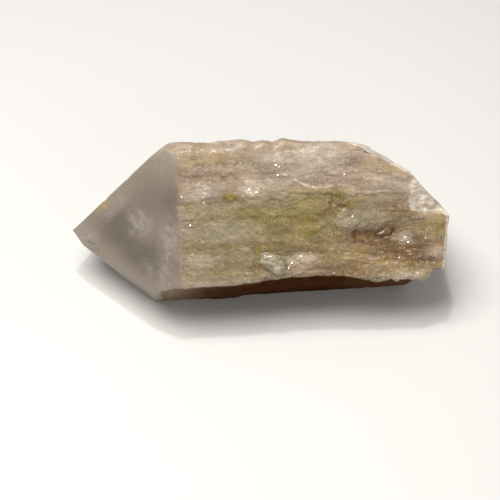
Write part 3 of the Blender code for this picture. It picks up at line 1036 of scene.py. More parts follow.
@dataclass
class CrystalCore:
    """The main crystal: the core, its fused overgrowths and its cuts, as one closed surface.

    Attributes:
        point_rows: Rows from the tip to the end of the point's faces.
        side_rows: Rows along the long sides.
        end_rows: Rows over the broken end.
        columns: Columns on each side, in order round the crystal.
        edge: How much the core's edges are rounded.
        crest_edge: How much more its upper edge is rounded.
        growth_edge: How much the edges of an overgrowth are rounded.
        fusion: How softly an overgrowth runs into the core.
        reach_out: How near a ray's end is to an overgrowth that is worked out for it.
        deepest: How far below the skin an overgrowth is still followed.
        lead: How far the inner section's ends stand back from the outer one's.
        section, inner: The corners (y, z) of the outer section, and of the one that rays start on.
        point_heart, end_heart: Where the rays of the point and of the broken end start.
        crest: Where across the front the crest's rounding begins and is whole.
        over_edge: How far below the front's plane the top fades out of it.
    """

    habit: Habit
    point_rows: int = 50
    side_rows: int = 230
    end_rows: int = 36
    columns: tuple[int, ...] = (40, 130, 10, 90, 17, 18)
    edge: float = 0.25
    crest_edge: float = 0.9
    growth_edge: float = 0.3
    fusion: float = 0.45
    reach_out: float = 6.0
    deepest: float = -3.0
    lead: float = 9.0
    section: tuple[tuple[float, float], ...] = (LOWER, FRONT, TOP, CREST, BACK, REAR)
    inner: tuple[tuple[float, float], ...] = (
        (-2.0, 13.0), (-6.0, 24.0), (2.0, 47.0), (3.0, 47.0), (14.0, 21.0), (9.0, 12.0)
    )
    point_heart: tuple[float, float, float] = (26.0, 5.0, 24.0)
    end_heart: tuple[float, float, float] = (106.0, 2.0, 22.0)
    crest: tuple[float, float] = (42.0, 46.5)
    over_edge: tuple[float, float] = (-9.0, -5.0)

    def _ring(self, corners: tuple[tuple[float, float], ...]) -> Array:
        """Points along the straight lines between corners, as many as the columns ask.

        Args:
            corners: The corners (y, z), in order.

        Returns:
            The points, one a row, in the other order.
        """
        found = []
        for index, count in enumerate(self.columns):
            start = np.array(corners[index])
            end = np.array(corners[(index + 1) % len(corners)])
            share = np.arange(count)[:, None] / count
            found.append(start + (end - start) * share)
        return np.concatenate(found)[::-1]

    def _crossing(self, planes: list[Plane], ring: Array) -> Array:
        """Where lines along x cross each plane.

        Args:
            planes: The planes.
            ring: The (y, z) of each line.

        Returns:
            The x of each crossing: one row a plane.
        """
        found = []
        for normal, point in planes:
            offset = (ring[:, 0] - point[1]) * normal[1] + (ring[:, 1] - point[2]) * normal[2]
            found.append(point[0] - offset / normal[0])
        return np.array(found)

    def _guides(self) -> tuple[Array, Array]:
        """Lays out the rays.

        Formula: the aims run in straight lines from the tip to the end of the point's faces, along
        the sides to the break, and over the break to its middle. The starts follow them on a smaller
        section inside, drawn in towards a heart at each end, so that no two rays cross.

        Returns:
            Ray starts and the points they aim at, shaped (rows, columns, 3).
        """
        outer, inner = self._ring(self.section), self._ring(self.inner)
        breaks = planes_of(BREAKS)
        near = self._crossing(self.habit.rhombs, outer).max(axis=0)
        far = self._crossing(breaks, outer).min(axis=0)
        middle = np.array([self.end_heart[1:]])
        last = np.array([self._crossing(breaks, middle).min(), *middle[0]])
        shares = [(np.arange(rows) + 1.0) / rows for rows in (self.point_rows, self.side_rows)]
        shares.append(1.0 - (np.arange(self.end_rows) + 1.0) / (self.end_rows + 1.0))

        def stretched(tip: Array, rings: list[Array], end: Array) -> Array:
            """Rows from the tip to the first ring, on to the second, and in to the end."""
            first, second = rings
            pairs = zip((tip, first, end), (first, second, second), shares)
            parts = [low + (high - low) * share[:, None, None] for low, high, share in pairs]
            return np.concatenate(parts)

        ring_ends = ((near, outer), (far, outer)), ((near + self.lead, inner), (far - self.lead, inner))
        aimed, started = ([np.column_stack(ring) for ring in rings] for rings in ring_ends)
        aims = stretched(TIP, aimed, last)
        return stretched(np.array(self.point_heart), started, np.array(self.end_heart)), aims

    def _fused(
        self, starts: Array, ways: Array, skipped: tuple[int, ...]
    ) -> tuple[Array, Array, Array]:
        """How far each ray runs to the surface of the core and everything fused to it.

        Formula: the soft maximum of the distance to the core's surface and of the distance at which
        the ray leaves each overgrowth that it passes through, lowered to the overgrowth's level.

        Args:
            starts: Where the rays start.
            ways: Their directions, at length one.
            skipped: Overgrowths that are pieces of their own.

        Returns:
            The distances, how much of each is overgrowth, and how pale or dim that growth is.
        """
        skin = starts + ways * self.habit.core.reach(starts, ways, self.edge)[..., None]
        _, v, height = SIDES["front"].local(skin)
        crest = smooth(*self.crest, v) * smooth(*self.over_edge, height)
        bare = self.habit.core.reach(starts, ways, self.edge + self.crest_edge * crest)
        reach, tone = bare.copy(), np.zeros_like(bare)
        bend = Noise(15).sway(skin, 0.4)
        bent = starts + (1.1 - 0.7 * smooth(*HIDDEN, height))[..., None] * bend
        for index, solid in enumerate(self.habit.solids):
            near = solid.outside(starts + ways * bare[..., None]) < self.reach_out
            if index in skipped or not near.any():
                continue
            some_starts, some_ways, some_bare = bent[near], ways[near], bare[near]
            rate = some_ways @ solid.normals.T
            gap = solid.offsets - some_starts @ solid.normals.T
            entering = rate < -TINY
            entry = np.where(entering, gap / np.where(entering, rate, 1.0), -FAR).max(axis=-1)
            leave = solid.reach(some_starts, some_ways, self.growth_edge)
            stands = (leave - some_bare) * self.habit.level(index)
            met = (leave > entry) & (entry < some_bare + 0.5)
            leave = some_bare + np.where(met, np.maximum(stands, self.deepest), self.deepest)
            before = reach[near]
            apart = np.abs(before - leave)
            extra = self.fusion * np.log1p(np.exp(-apart / self.fusion))
            reach[near] = np.maximum(before, leave) + extra
            over = smooth(-0.15, 0.1, leave - before) * met
            tone[near] += (self.habit.tone(index) - tone[near]) * over
        return reach, reach - bare, tone

    def _relief(self, points: Array, satin: Array, broken: Array, rugged: Array) -> Array:
        """The fine relief at each point, in millimetres outwards.

        Formula: on the sides, low swells, a mosaic of tilted scales about two millimetres long with
        a finer one over it, and faint ridges along the crystal; on the broken end, larger tilted
        flats and curved ripples about one centre; on the point's faces almost nothing.

        Args:
            points: The points.
            satin: How much each belongs to the point's faces.
            broken: How much it belongs to a break.
            rugged: How strong its scales are.

        Returns:
            The relief.
        """
        grain, scale = Noise(11), Noise(12)
        swell = grain.fractal(points * np.array([0.12, 0.2, 0.2]), 3)
        ridges = grain.fractal(points * np.array([0.3, 1.1, 1.1]) + 40.0, 3)
        wander = 0.35 * np.stack([swell, ridges, -swell], axis=-1)
        coarse, edge = scale.facets(points * np.array([0.36, 0.66, 0.66]) + wander)
        small, small_edge = scale.facets(points * np.array([0.75, 1.3, 1.3]) + 1.4 * wander + 70.0)
        seams = smooth(0.16, 0.0, edge) + 0.6 * smooth(0.14, 0.0, small_edge)
        fine = 0.06 * coarse + 0.05 * small + 0.05 * ridges - 0.012 * seams
        broad, _ = scale.facets(points * np.array([0.17, 0.34, 0.34]) + wander + 15.0)
        plates = 0.10 * broad + 0.03 * coarse + 0.06 * ridges
        _, v, height = SIDES["front"].local(points)
        hidden = smooth(*HIDDEN, height)
        rugged = rugged * (1.0 - 0.5 * smooth(43.0, 46.0, v))
        sides = (0.26 - 0.08 * hidden) * swell + rugged * (fine * (1.0 - hidden) + plates * hidden)
        away = np.linalg.norm(points - RIPPLE_CENTRE, axis=-1) + 1.6 * swell
        flats, _ = scale.facets(points * 0.16 + wander + 30.0)
        ripples = np.sin(away * 1.4) * 0.07 + 0.26 * flats + 0.06 * grain.fractal(points * 0.4 + 7.0, 2)
        quiet = 0.030 * grain.fractal(points * 0.25 + 3.0, 2)
        rough = sides * (1.0 - broken) + ripples * broken
        return rough * (1.0 - satin) + quiet * satin - self._nicks(points)

    @staticmethod
    def _crests(points: Array) -> Array:
        """How far the lumps of CRESTS raise the upper edge, or the hollows among them lower it.

        Formula: a bell curve along the crystal for each, with its middle, half width and height,
        fading out down the front and across the top.

        Args:
            points: The points.

        Returns:
            The rise at each point.
        """
        a, v, height = SIDES["front"].local(points)
        wave = sum(rise * np.exp(-(((a - middle) / wide) ** 2)) for middle, wide, rise in CRESTS)
        right = smooth(92.0, 98.0, a)
        front = smooth(45.0 - 7.0 * right, 49.0 - 3.0 * right, v) * smooth(-9.0, -1.0, height)
        lifted = 0.5 * smooth(50.0, 56.0, a) * (1.0 - smooth(84.0, 92.0, a))
        return (wave + lifted) * front

    @staticmethod
    def _nicks(points: Array) -> Array:
        """How deep the nicks of the point's edges and its ring-shaped pit go.

        Args:
            points: The points.

        Returns:
            The depth at each point.
        """
        depth = np.zeros(points.shape[:-1])
        for x, y, z, radius, deep in NICKS:
            far = np.linalg.norm(points - np.array([x, y, z]), axis=-1)
            depth += deep * (1.0 - smooth(0.4 * radius, radius, far))
        a, v, height = POINT_FACE.local(points)
        pit_a, pit_v, radius = POINT_PIT
        ring = np.hypot(a - pit_a, (v - pit_v) * 1.2)
        arc = (1.0 - smooth(0.0, 0.55, np.abs(ring - radius))) * smooth(-2.0, 1.5, pit_v - v)
        return depth + 0.10 * arc * (np.abs(height) < 1.0)

    def surface(self, skipped: tuple[int, ...] = ()) -> tuple[Surface, Array]:
        """Works out the whole surface.

        Args:
            skipped: Overgrowths that are pieces of their own.

        Returns:
            The surface and its two poles.
        """
        starts, aims = self._guides()
        ways = unit(aims - starts)
        reach, grown, tone = self._fused(starts, ways, skipped)
        points = starts + ways * reach[..., None]
        rhombs = Solid.inside(self.habit.rhombs)
        breaks = Solid.inside(planes_of(BREAKS))
        ragged = Noise(14)
        satin = smooth(-1.7, -0.4, rhombs.outside(points) + 0.4 * ragged.fractal(points * 0.5, 3))
        broken = smooth(-1.2, -0.2, breaks.outside(points)) * (1.0 - satin)
        normals = grid_normals(points)
        normals = unit(np.stack([blurred(normals[..., axis], 2) for axis in range(3)], axis=-1))
        bend = 0.9 * ragged.sway(points, 0.45)
        chipped, cut_depth = np.zeros(points.shape[:2]), np.zeros(points.shape[:2])
        for cut in self.habit.cuts:
            moved = cut.solid.push_out(points, cut.way, bend)
            shift = np.linalg.norm(moved - points, axis=-1)
            cut_depth += shift
            if cut.fresh:
                chipped = np.maximum(chipped, smooth(0.1, 0.6, shift))
            points = moved
        a, v, height = SIDES["front"].local(points)
        stony = 1.0 - satin
        seen = (height > HIDDEN[0]) * stony
        cracked = np.clip(sum(crack.mask(a, v, ragged) for crack in CRACKS) * seen, 0.0, 1.0)
        smoothed = np.clip(coverage(SPOTS[Tint.CLOUD], a, v), 0.0, 1.0)
        rugged = 0.62 + coverage(RUGGED, a, v) - 0.45 * smoothed
        rugged = np.where(height > FRONT_DEPTH, np.clip(rugged, 0.2, 1.4), 1.1)
        worn = np.maximum(broken, 0.45 * chipped)
        relief = self._relief(points, satin, worn, rugged) - 0.10 * cracked
        points = points + normals * relief[..., None]
        points = points + normals * (self._crests(points) * stony)[..., None]
        skin = grown + relief - cut_depth
        crevice = blurred(skin, 12) - skin
        points[..., 2] = np.maximum(points[..., 2], 0.0)
        tints = self._tints(points, normals, satin, broken, chipped, crevice)
        veined = sum(vein.mask(a, v, ragged) for vein in VEINS) * seen
        tints[Tint.DIM] = np.clip(-tone, 0.0, 1.0) * stony
        more = {
            Tint.CRACK: cracked,
            Tint.MIST: np.clip(tone, 0.0, 1.0) * stony,
            Tint.PALE: np.clip(veined, 0.0, 1.0),
        }
        for tint, strength in more.items():
            tints[tint] = np.maximum(tints[tint], strength)
        poles = np.array([TIP, aims[-1].mean(axis=0)])
        return Surface(points, grid_normals(points), tints), poles

    @staticmethod
    def _tints(
        points: Array,
        normals: Array,
        satin: Array,
        broken: Array,
        chipped: Array,
        crevice: Array,
    ) -> dict[Tint, Array]:
        """The strength of each colour at each point.

        Formula: stain gathers where the surface lies below its own average; the ovals of SPOTS, bent
        by noise, colour the front; broad noise colours the other sides the same way, more weakly.

        Args:
            points: The points.
            normals: The outward direction at each.
            satin: How much each belongs to the point's faces.
            broken: How much it belongs to the broken end.
            chipped: How much it belongs to a fresh chip.
            crevice: How far it lies below its neighbours.

        Returns:
            The strengths, by colour.
        """
        cloudy = Noise(21)
        bend = 1.6 * cloudy.fractal(points * 0.22 + 5.0, 3)
        a, v, height = SIDES["front"].local(points)
        stony, fresh = 1.0 - satin, np.maximum(broken, chipped)
        on_front = smooth(-6.0, -2.5, height) * stony
        mottle = cloudy.fractal(points * np.array([0.35, 0.8, 0.8]) + 60.0, 3)
        # The underside and the faces that look down get a dark red-brown: partly rust stain, partly
        # painted shade.
        rim = np.interp(a, *RIM_LINE) + 0.25 * bend
        below = np.maximum(smooth(0.5, -0.5, v - rim) * (normals[..., 1] < 0.2), normals[..., 2] < -0.8)
        found = {
            Tint.SATIN: satin,
            Tint.CREVICE: smooth(0.12, 0.8, crevice) * stony * (1.0 - fresh),
            Tint.FRESH: fresh * stony,
            Tint.UNDER: np.interp(a, *UNDER_STAIN_SHADE_LINE) * below * stony,
            Tint.DULL: np.maximum(smooth(*HIDDEN, height), smooth(42.5, 45.5, v)) * stony,
        }
        for number, (tint, spots) in enumerate(SPOTS.items()):
            spread = coverage(spots, a + bend, v + 0.6 * bend) * (1.0 + 0.9 * mottle)
            broad = cloudy.fractal(points * np.array([0.04, 0.09, 0.09]) + 31.0 * number, 3)
            stain = tint in (Tint.GREEN, Tint.UMBER, Tint.RUST, Tint.OLIVE)
            most, least = (0.25, 0.05) if stain else (0.6, -0.15)
            elsewhere = most * smooth(least, 0.5, broad) * stony
            found[tint] = np.clip(spread * on_front + elsewhere * (1.0 - on_front), 0.0, 1.0)
        a, v, height = POINT_FACE.local(points)
        swirl = 3.0 * cloudy.fractal(points * 0.075 + 50.0, 3)
        wisp = 1.0 + 1.3 * cloudy.fractal(points * 0.33 + swirl[..., None] * 0.2, 4)
        for tint, spots in POINT_SPOTS.items():
            misty = tint is Tint.MIST
            shift = 0.0 if tint in (Tint.CRACK, Tint.AMBER) else swirl
            spread = coverage(spots, a + shift, v - 0.7 * shift)
            spread = np.clip(spread * (wisp if misty else 1.0), 0.0, 1.0) * satin
            away = smooth(-1.0, -4.0, height) * smooth(0.0, 0.5, wisp - 0.9)
            spread = np.maximum(spread, 0.6 * away * satin) if misty else spread
            found[tint] = found.get(tint, 0.0) * stony + spread
        return found


@dataclass
class LoneCrystal:
    """One grown crystal or knob as a closed piece of its own, seen from a line inside it."""

    name: str
    body: Overgrowth | Lump
    rows: int = 60
    columns: int = 72
    edge: float = 0.14
    relief: float = 0.05

    def surface(self) -> tuple[Surface, Array]:
        """Works out its surface.

        Formula: rays fan out round one end of the inner line, run square to it along its length and
        close round the other end; each stops at the crystal's planes, with softened edges. Noise
        adds a low relief.

        Returns:
            The surface and its two poles.
        """
        along, across, out = self.body.axes()
        start, end = self.body.spine()
        solid = Solid.inside(self.body.planes())
        turn = math.tau * np.arange(self.columns) / self.columns
        radial = across * np.cos(turn)[:, None] + out * np.sin(turn)[:, None]
        cap = self.rows // 3
        angles = np.linspace(0.0, math.pi / 2, cap + 1)[1:]
        straight = np.linspace(0.0, 1.0, self.rows - 2 * cap + 1)[1:]
        square = np.full(len(straight), math.pi / 2)
        tilt = np.concatenate([angles, square, math.pi - angles[::-1][1:]])
        share = np.concatenate([np.zeros(cap), straight, np.ones(cap - 1)])
        ways = -along * np.cos(tilt)[:, None, None] + radial * np.sin(tilt)[:, None, None]
        starts = np.broadcast_to((start + (end - start) * share[:, None])[:, None], ways.shape)
        points = starts + ways * solid.reach(starts, ways, self.edge)[..., None]
        noise = Noise(len(self.name) + 31)
        rough = self.relief * noise.fractal(points * np.array([0.35, 0.5, 0.5]), 2)
        points = points + ways * rough[..., None]
        pole_ways = np.array([-along, along])
        pole_starts = np.array([start, end])
        poles = pole_starts + pole_ways * solid.reach(pole_starts, pole_ways, self.edge)[:, None]
        return Surface(points, grid_normals(points)), poles


@dataclass
class TinyPoints:
    """Where a crowd of tiny quartz points stand: one row of each array for each of them.

    Attributes:
        centres: Their middles.
        lines: The directions that they lie along.
        ups: The way that one side face of each looks.
        widths: Their widths, in millimetres.
        lengths: Their lengths, in millimetres.
        picked: Which point of the surface each stands on.
    """

    centres: Array
    lines: Array
    ups: Array
    widths: Array
    lengths: Array
    picked: Array

    def build(self, maker: Maker, name: str, surface: Surface) -> Piece:
        """Makes them as one piece, each with the colours of the place that it stands on.

        Formula: one pattern, a six-sided prism with a six-sided point at each end, is stretched to
        each length and width, turned to each line and moved to each place.

        Args:
            maker: Puts the mesh into the scene.
            name: The piece's name.
            surface: The surface that they stand on.

        Returns:
            The piece.
        """
        count = len(self.widths)
        sides = np.cross(self.ups, self.lines)
        around = math.tau * np.arange(6) / 6.0
        ring = np.column_stack([np.zeros(6), np.cos(around), np.sin(around)]) * 0.5
        slope = 0.5 / math.tan(math.radians(RHOMB_TILT)) / 2.6
        front_ring, back_ring = ring + [0.5 - slope, 0.0, 0.0], ring - [0.5 - slope, 0.0, 0.0]
        pattern = np.concatenate([[[0.5, 0.0, 0.0]], front_ring, back_ring, [[-0.5, 0.0, 0.0]]])
        sizes = np.stack([self.lengths, self.widths, self.widths], axis=-1)
        scaled = pattern[None] * sizes[:, None]
        spots = self.centres[:, None] + scaled[..., :1] * self.lines[:, None]
        spots = spots + scaled[..., 1:2] * sides[:, None] + scaled[..., 2:] * self.ups[:, None]
        spots[..., 2] = np.maximum(spots[..., 2], 0.0)
        step = np.arange(6)
        after = (step + 1) % 6
        tips = np.stack([np.zeros(6, int), 1 + step, 1 + after], axis=-1)
        walls = np.stack([1 + step, 7 + step, 7 + after, 1 + after], axis=-1)
        tails = np.stack([np.full(6, 13), 7 + after, 7 + step], axis=-1)
        base = (np.arange(count) * len(pattern))[:, None, None]
        faces = [(base + part).reshape(-1, part.shape[1]) for part in (tips, walls, tails)]
        piece = maker.mesh(name, spots.reshape(-1, 3), faces, False)
        tints = {
            tint: np.repeat(values.ravel()[self.picked], len(pattern))
            for tint, values in surface.tints.items()
        }
        maker.colour(piece, tints)
        return piece


@dataclass
class Druse:
    """Many tiny quartz points sunk in a surface, all lying about along the crystal.

    Attributes:
        count: How many there are.
        width: Least and most width of one, in millimetres.
        stretch: Least and most length, in widths.
        sunk: How deep the middle line of each lies, in widths.
        stray: How far each may turn from the crystal's own line, in degrees.
        seed: Seed of the draw.
    """

    count: int
    width: tuple[float, float] = (0.5, 1.3)
    stretch: tuple[float, float] = (1.6, 3.4)
    sunk: float = 0.16
    stray: float = 7.0
    seed: int = 1

    def points(self, surface: Surface, weight: Array) -> TinyPoints:
        """Places them at grid points drawn by weight.

        Args:
            surface: The surface that they grow on.
            weight: How likely each grid point is to carry one, shaped as the grid.

        Returns:
            Their places and sizes.
        """
        chance = np.random.default_rng(self.seed)
        share = (weight / weight.sum()).ravel()
        picked = chance.choice(share.size, self.count, replace=False, p=share)
        outs = unit(surface.normals.reshape(-1, 3)[picked])
        widths = chance.uniform(*self.width, self.count) * (0.7 + 0.6 * chance.random(self.count) ** 3)
        lengths = widths * chance.uniform(*self.stretch, self.count)
        strays = np.radians(self.stray) * chance.normal(size=(self.count, 3))
        lines = np.array([-1.0, 0.0, 0.0]) + strays
        lines = unit(lines - 0.85 * np.sum(lines * outs, axis=1)[:, None] * outs)
        sides = unit(np.cross(outs, lines))
        centres = surface.points.reshape(-1, 3)[picked] - outs * (self.sunk * widths)[:, None]
        return TinyPoints(centres, lines, np.cross(lines, sides), widths, lengths, picked)


@dataclass
class Glints:
    """Small bright crystals whose upper faces send the small lamp's light to the camera.

    Attributes:
        lamp: Where the lamp stands, in the working frame.
        eye: Where the camera stands, in the working frame.
        tilt: How far each strays from the mirroring turn, in radians.
        stray: How far each may turn from the crystal's own line, in radians.
        stretch: Least and most length, in widths.
        sunk: How deep each sits, in millimetres.
        spots: Their places (a, v) on the front face, and their widths.
    """

    lamp: Array
    eye: Array
    tilt: float = 0.018
    stray: float = 0.35
    stretch: tuple[float, float] = (1.1, 1.8)
    sunk: float = 0.05
    spots: tuple[tuple[float, float, float], ...] = (
        (68.9, 41.5, 0.6), (69.6, 40.9, 0.3), (62.6, 32.8, 0.6), (60, 34, 0.35), (59.7, 33.3, 0.4),
        (60.3, 32.4, 0.45), (60.9, 31.7, 0.3), (69.5, 38.1, 0.5), (40.3, 21.9, 0.5), (74.2, 7.2, 0.55),
        (73.2, 6.4, 0.35), (111.4, 13.8, 0.45), (113.5, 13, 0.6), (112.2, 15.4, 0.35),
        (107.2, 17.6, 0.4), (119.2, 14.6, 0.4), (97.8, 36.4, 0.45), (110.5, 7.8, 0.35),
        (116.8, 2.1, 0.4), (112.9, 1.2, 0.4), (109.2, 0.6, 0.35), (43.9, 36.2, 0.35),
        (46.3, 33.4, 0.35), (44, 33.9, 0.4), (37.6, 31.7, 0.4), (45, 29.6, 0.35), (89.7, 38, 0.3),
        (91.6, 37.6, 0.3), (94.3, 23, 0.4), (40.4, 9.6, 0.35), (57.1, 42.6, 0.3), (76.9, 9.9, 0.35),
        (80.2, 29.1, 0.25), (88.2, 29.5, 0.3), (72.4, 4.6, 0.45), (71.2, 3.9, 0.35), (73, 5.6, 0.3),
    )

    def points(self, surface: Surface) -> TinyPoints:
        """Places them on the surface, each turned so that a side face nearly mirrors the lamp.

        Formula: that face looks halfway between the way to the lamp and the way to the eye, with a
        small random tilt, and the long axis lies about along the crystal, square to it.

        Args:
            surface: The surface that they stand on.

        Returns:
            Their places and sizes.
        """
        spots = np.array(self.spots)
        a, v, height = SIDES["front"].local(surface.points.reshape(-1, 3))
        off = np.where(height > FRONT_DEPTH, 0.0, FAR)
        far = (a - spots[:, :1]) ** 2 + (v - spots[:, 1:2]) ** 2 + off
        picked = far.argmin(axis=1)
        centres = surface.points.reshape(-1, 3)[picked]
        chance = np.random.default_rng(SEED)
        ups = unit(unit(self.lamp - centres) + unit(self.eye - centres))
        ups = unit(ups + self.tilt * chance.normal(size=ups.shape))
        lines = unit(np.array([-1.0, 0.0, 0.0]) + self.stray * chance.normal(size=ups.shape))
        lines = unit(lines - np.sum(lines * ups, axis=1)[:, None] * ups)
        widths = spots[:, 2]
        lengths = widths * chance.uniform(*self.stretch, len(widths))
        return TinyPoints(centres - ups * self.sunk, lines, ups, widths, lengths, picked)


class Tree:
    """A short hand for building one material's node tree."""

    def __init__(self, name: str) -> None:
        """Starts a material with a Principled shader and object coordinates."""
        self.material = bpy.data.materials.new(name)
        self.material.use_nodes = True
        self.nodes = self.material.node_tree.nodes
        self.links = self.material.node_tree.links
        self.shader = self.nodes["Principled BSDF"]
        self.place = self.nodes.new("ShaderNodeTexCoord").outputs["Object"]

    def feed(self, value: Socket | float | Colour, socket: Socket) -> None:
        """Links a value to a socket, or sets the socket to it."""
        if isinstance(value, Socket):
            self.links.new(value, socket)
        else:
            socket.default_value = value

    def add(
        self, kind: str, inputs: dict[str | int, Socket | float | Colour], operation: str = ""
    ) -> bpy.types.Node:
        """A new node of this kind, doing this operation, with these inputs linked or set."""
        node = self.nodes.new("ShaderNode" + kind)
        if operation:
            node.operation = operation
        for name, value in inputs.items():
            self.feed(value, node.inputs[name])
        return node

    def use(self, inputs: dict[str, Socket | float | Colour]) -> None:
        """Links or sets the shader's inputs."""
        for name, value in inputs.items():
            self.feed(value, self.shader.inputs[name])

    def mapped(self, size: float, stretch: float) -> Socket:
        """Object coordinates in units of a size in millimetres, stretched along the crystal."""
        scale = 1.0 / (size * METRES_PER_MM)
        scales = (scale / stretch, scale, scale)
        return self.add("Mapping", {"Scale": scales, "Vector": self.place}).outputs["Vector"]

    def vector(self, kind: str, first: Socket, second: Socket | Colour) -> Socket:
        """One sum on two vectors, such as SUBTRACT or DOT_PRODUCT."""
        outputs = self.add("VectorMath", {0: first, 1: second}, kind).outputs
        return outputs["Value" if kind == "DOT_PRODUCT" else "Vector"]

    def noise(
        self, size: float, stretch: float = 1.0, detail: float = 4.0, rough: float = 0.55
    ) -> Socket:
        """Noise on object coordinates.

        Args:
            size: Width of its features, in millimetres.
            stretch: How many times longer they are along the crystal.
            detail: How many finer layers it has.
            rough: How strong the finer layers are.

        Returns:
            Its value, about 0.5 on average.
        """
        inputs = {"Scale": 1.0, "Detail": detail, "Roughness": rough}
        return self.add("TexNoise", {**inputs, "Vector": self.mapped(size, stretch)}).outputs["Fac"]

    def facets(self, size: float, stretch: float = 1.0) -> Socket:
        """Heights of a mosaic of flat patches, each tilted its own way, of this size in millimetres."""
        place = self.mapped(size, stretch)
        cells = self.add("TexVoronoi", {"Scale": 1.0, "Vector": place}).outputs
        way = self.vector("SUBTRACT", place, cells["Position"])
        tilt = self.vector("SUBTRACT", cells["Color"], (0.5, 0.5, 0.5))
        return self.vector("DOT_PRODUCT", way, tilt)

    def tint(self, tint: Tint) -> Socket:
        """A colour's strength on the surface."""
        node = self.nodes.new("ShaderNodeAttribute")
        node.attribute_name = tint.value
        return node.outputs["Fac"]

    def span(
        self, value: Socket, low: float, high: float, least: float = 0.0, most: float = 1.0
    ) -> Socket:
        """Turns low..high smoothly into least..most."""
        ends = {"From Min": low, "From Max": high, "To Min": least, "To Max": most}
        node = self.add("MapRange", {"Value": value, **ends})
        node.interpolation_type = "SMOOTHSTEP"
        return node.outputs["Result"]

    def math(self, kind: str, first: Socket, second: Socket | float) -> Socket:
        """One sum on two values, such as ADD or SUBTRACT."""
        return self.add("Math", {0: first, 1: second}, kind).outputs["Value"]

    def times(self, first: Socket, *others: Socket | float) -> Socket:
        """The product of all these values."""
        for other in others:
            first = self.math("MULTIPLY", first, other)
        return first

    def less(self, first: Socket, second: Socket, strength: float) -> Socket:
        """The first value less the second times a strength."""
        return self.math("SUBTRACT", first, self.times(second, strength))

    def ridge(self, noise: Socket, wide: float, narrow: float) -> Socket:
        """1 where a noise crosses its middle, 0 where it is further from it than wide."""
        away = self.math("ABSOLUTE", self.math("SUBTRACT", noise, 0.5), 0.0)
        return self.span(away, wide, narrow)

    def clamped(self, value: Socket) -> Socket:
        """The value kept within 0 and 1."""
        value.node.use_clamp = True
        return value

    def blend(self, share: Socket, below: Socket | Colour, above: Socket | Colour) -> Socket:
        """Mixes two colours: below where share is 0, above where it is 1."""
        node = self.nodes.new("ShaderNodeMix")
        node.data_type = "RGBA"
        self.links.new(share, node.inputs["Factor"])
        self.feed(below, node.inputs[6])
        self.feed(above, node.inputs[7])
        return node.outputs[2]

    def shade(self, colour: Socket, change: Socket) -> Socket:
        """Makes a colour lighter where change is above 0 and darker where it is below."""
        inputs = {0: colour, "Scale": self.math("ADD", change, 1.0)}
        return self.add("VectorMath", inputs, "SCALE").outputs["Vector"]

    def bump(self, height: Socket, depth: float, under: Socket | None = None) -> Socket:
        """A bump of this depth in millimetres, on top of another if one is given."""
        inputs = {"Strength": 1.0, "Distance": depth * METRES_PER_MM, "Height": height}
        if under is not None:
            inputs["Normal"] = under
        return self.add("Bump", inputs).outputs["Normal"]


def paint(red: int, green: int, blue: int) -> Colour:
    """A display colour of 0 to 255 a channel as the linear, opaque colour that the nodes take."""
    shares = np.array([red, green, blue]) / 255.0
    linear = np.where(shares <= 0.04045, shares / 12.92, ((shares + 0.055) / 1.055) ** 2.4)
    return (*(float(value) for value in linear), 1.0)


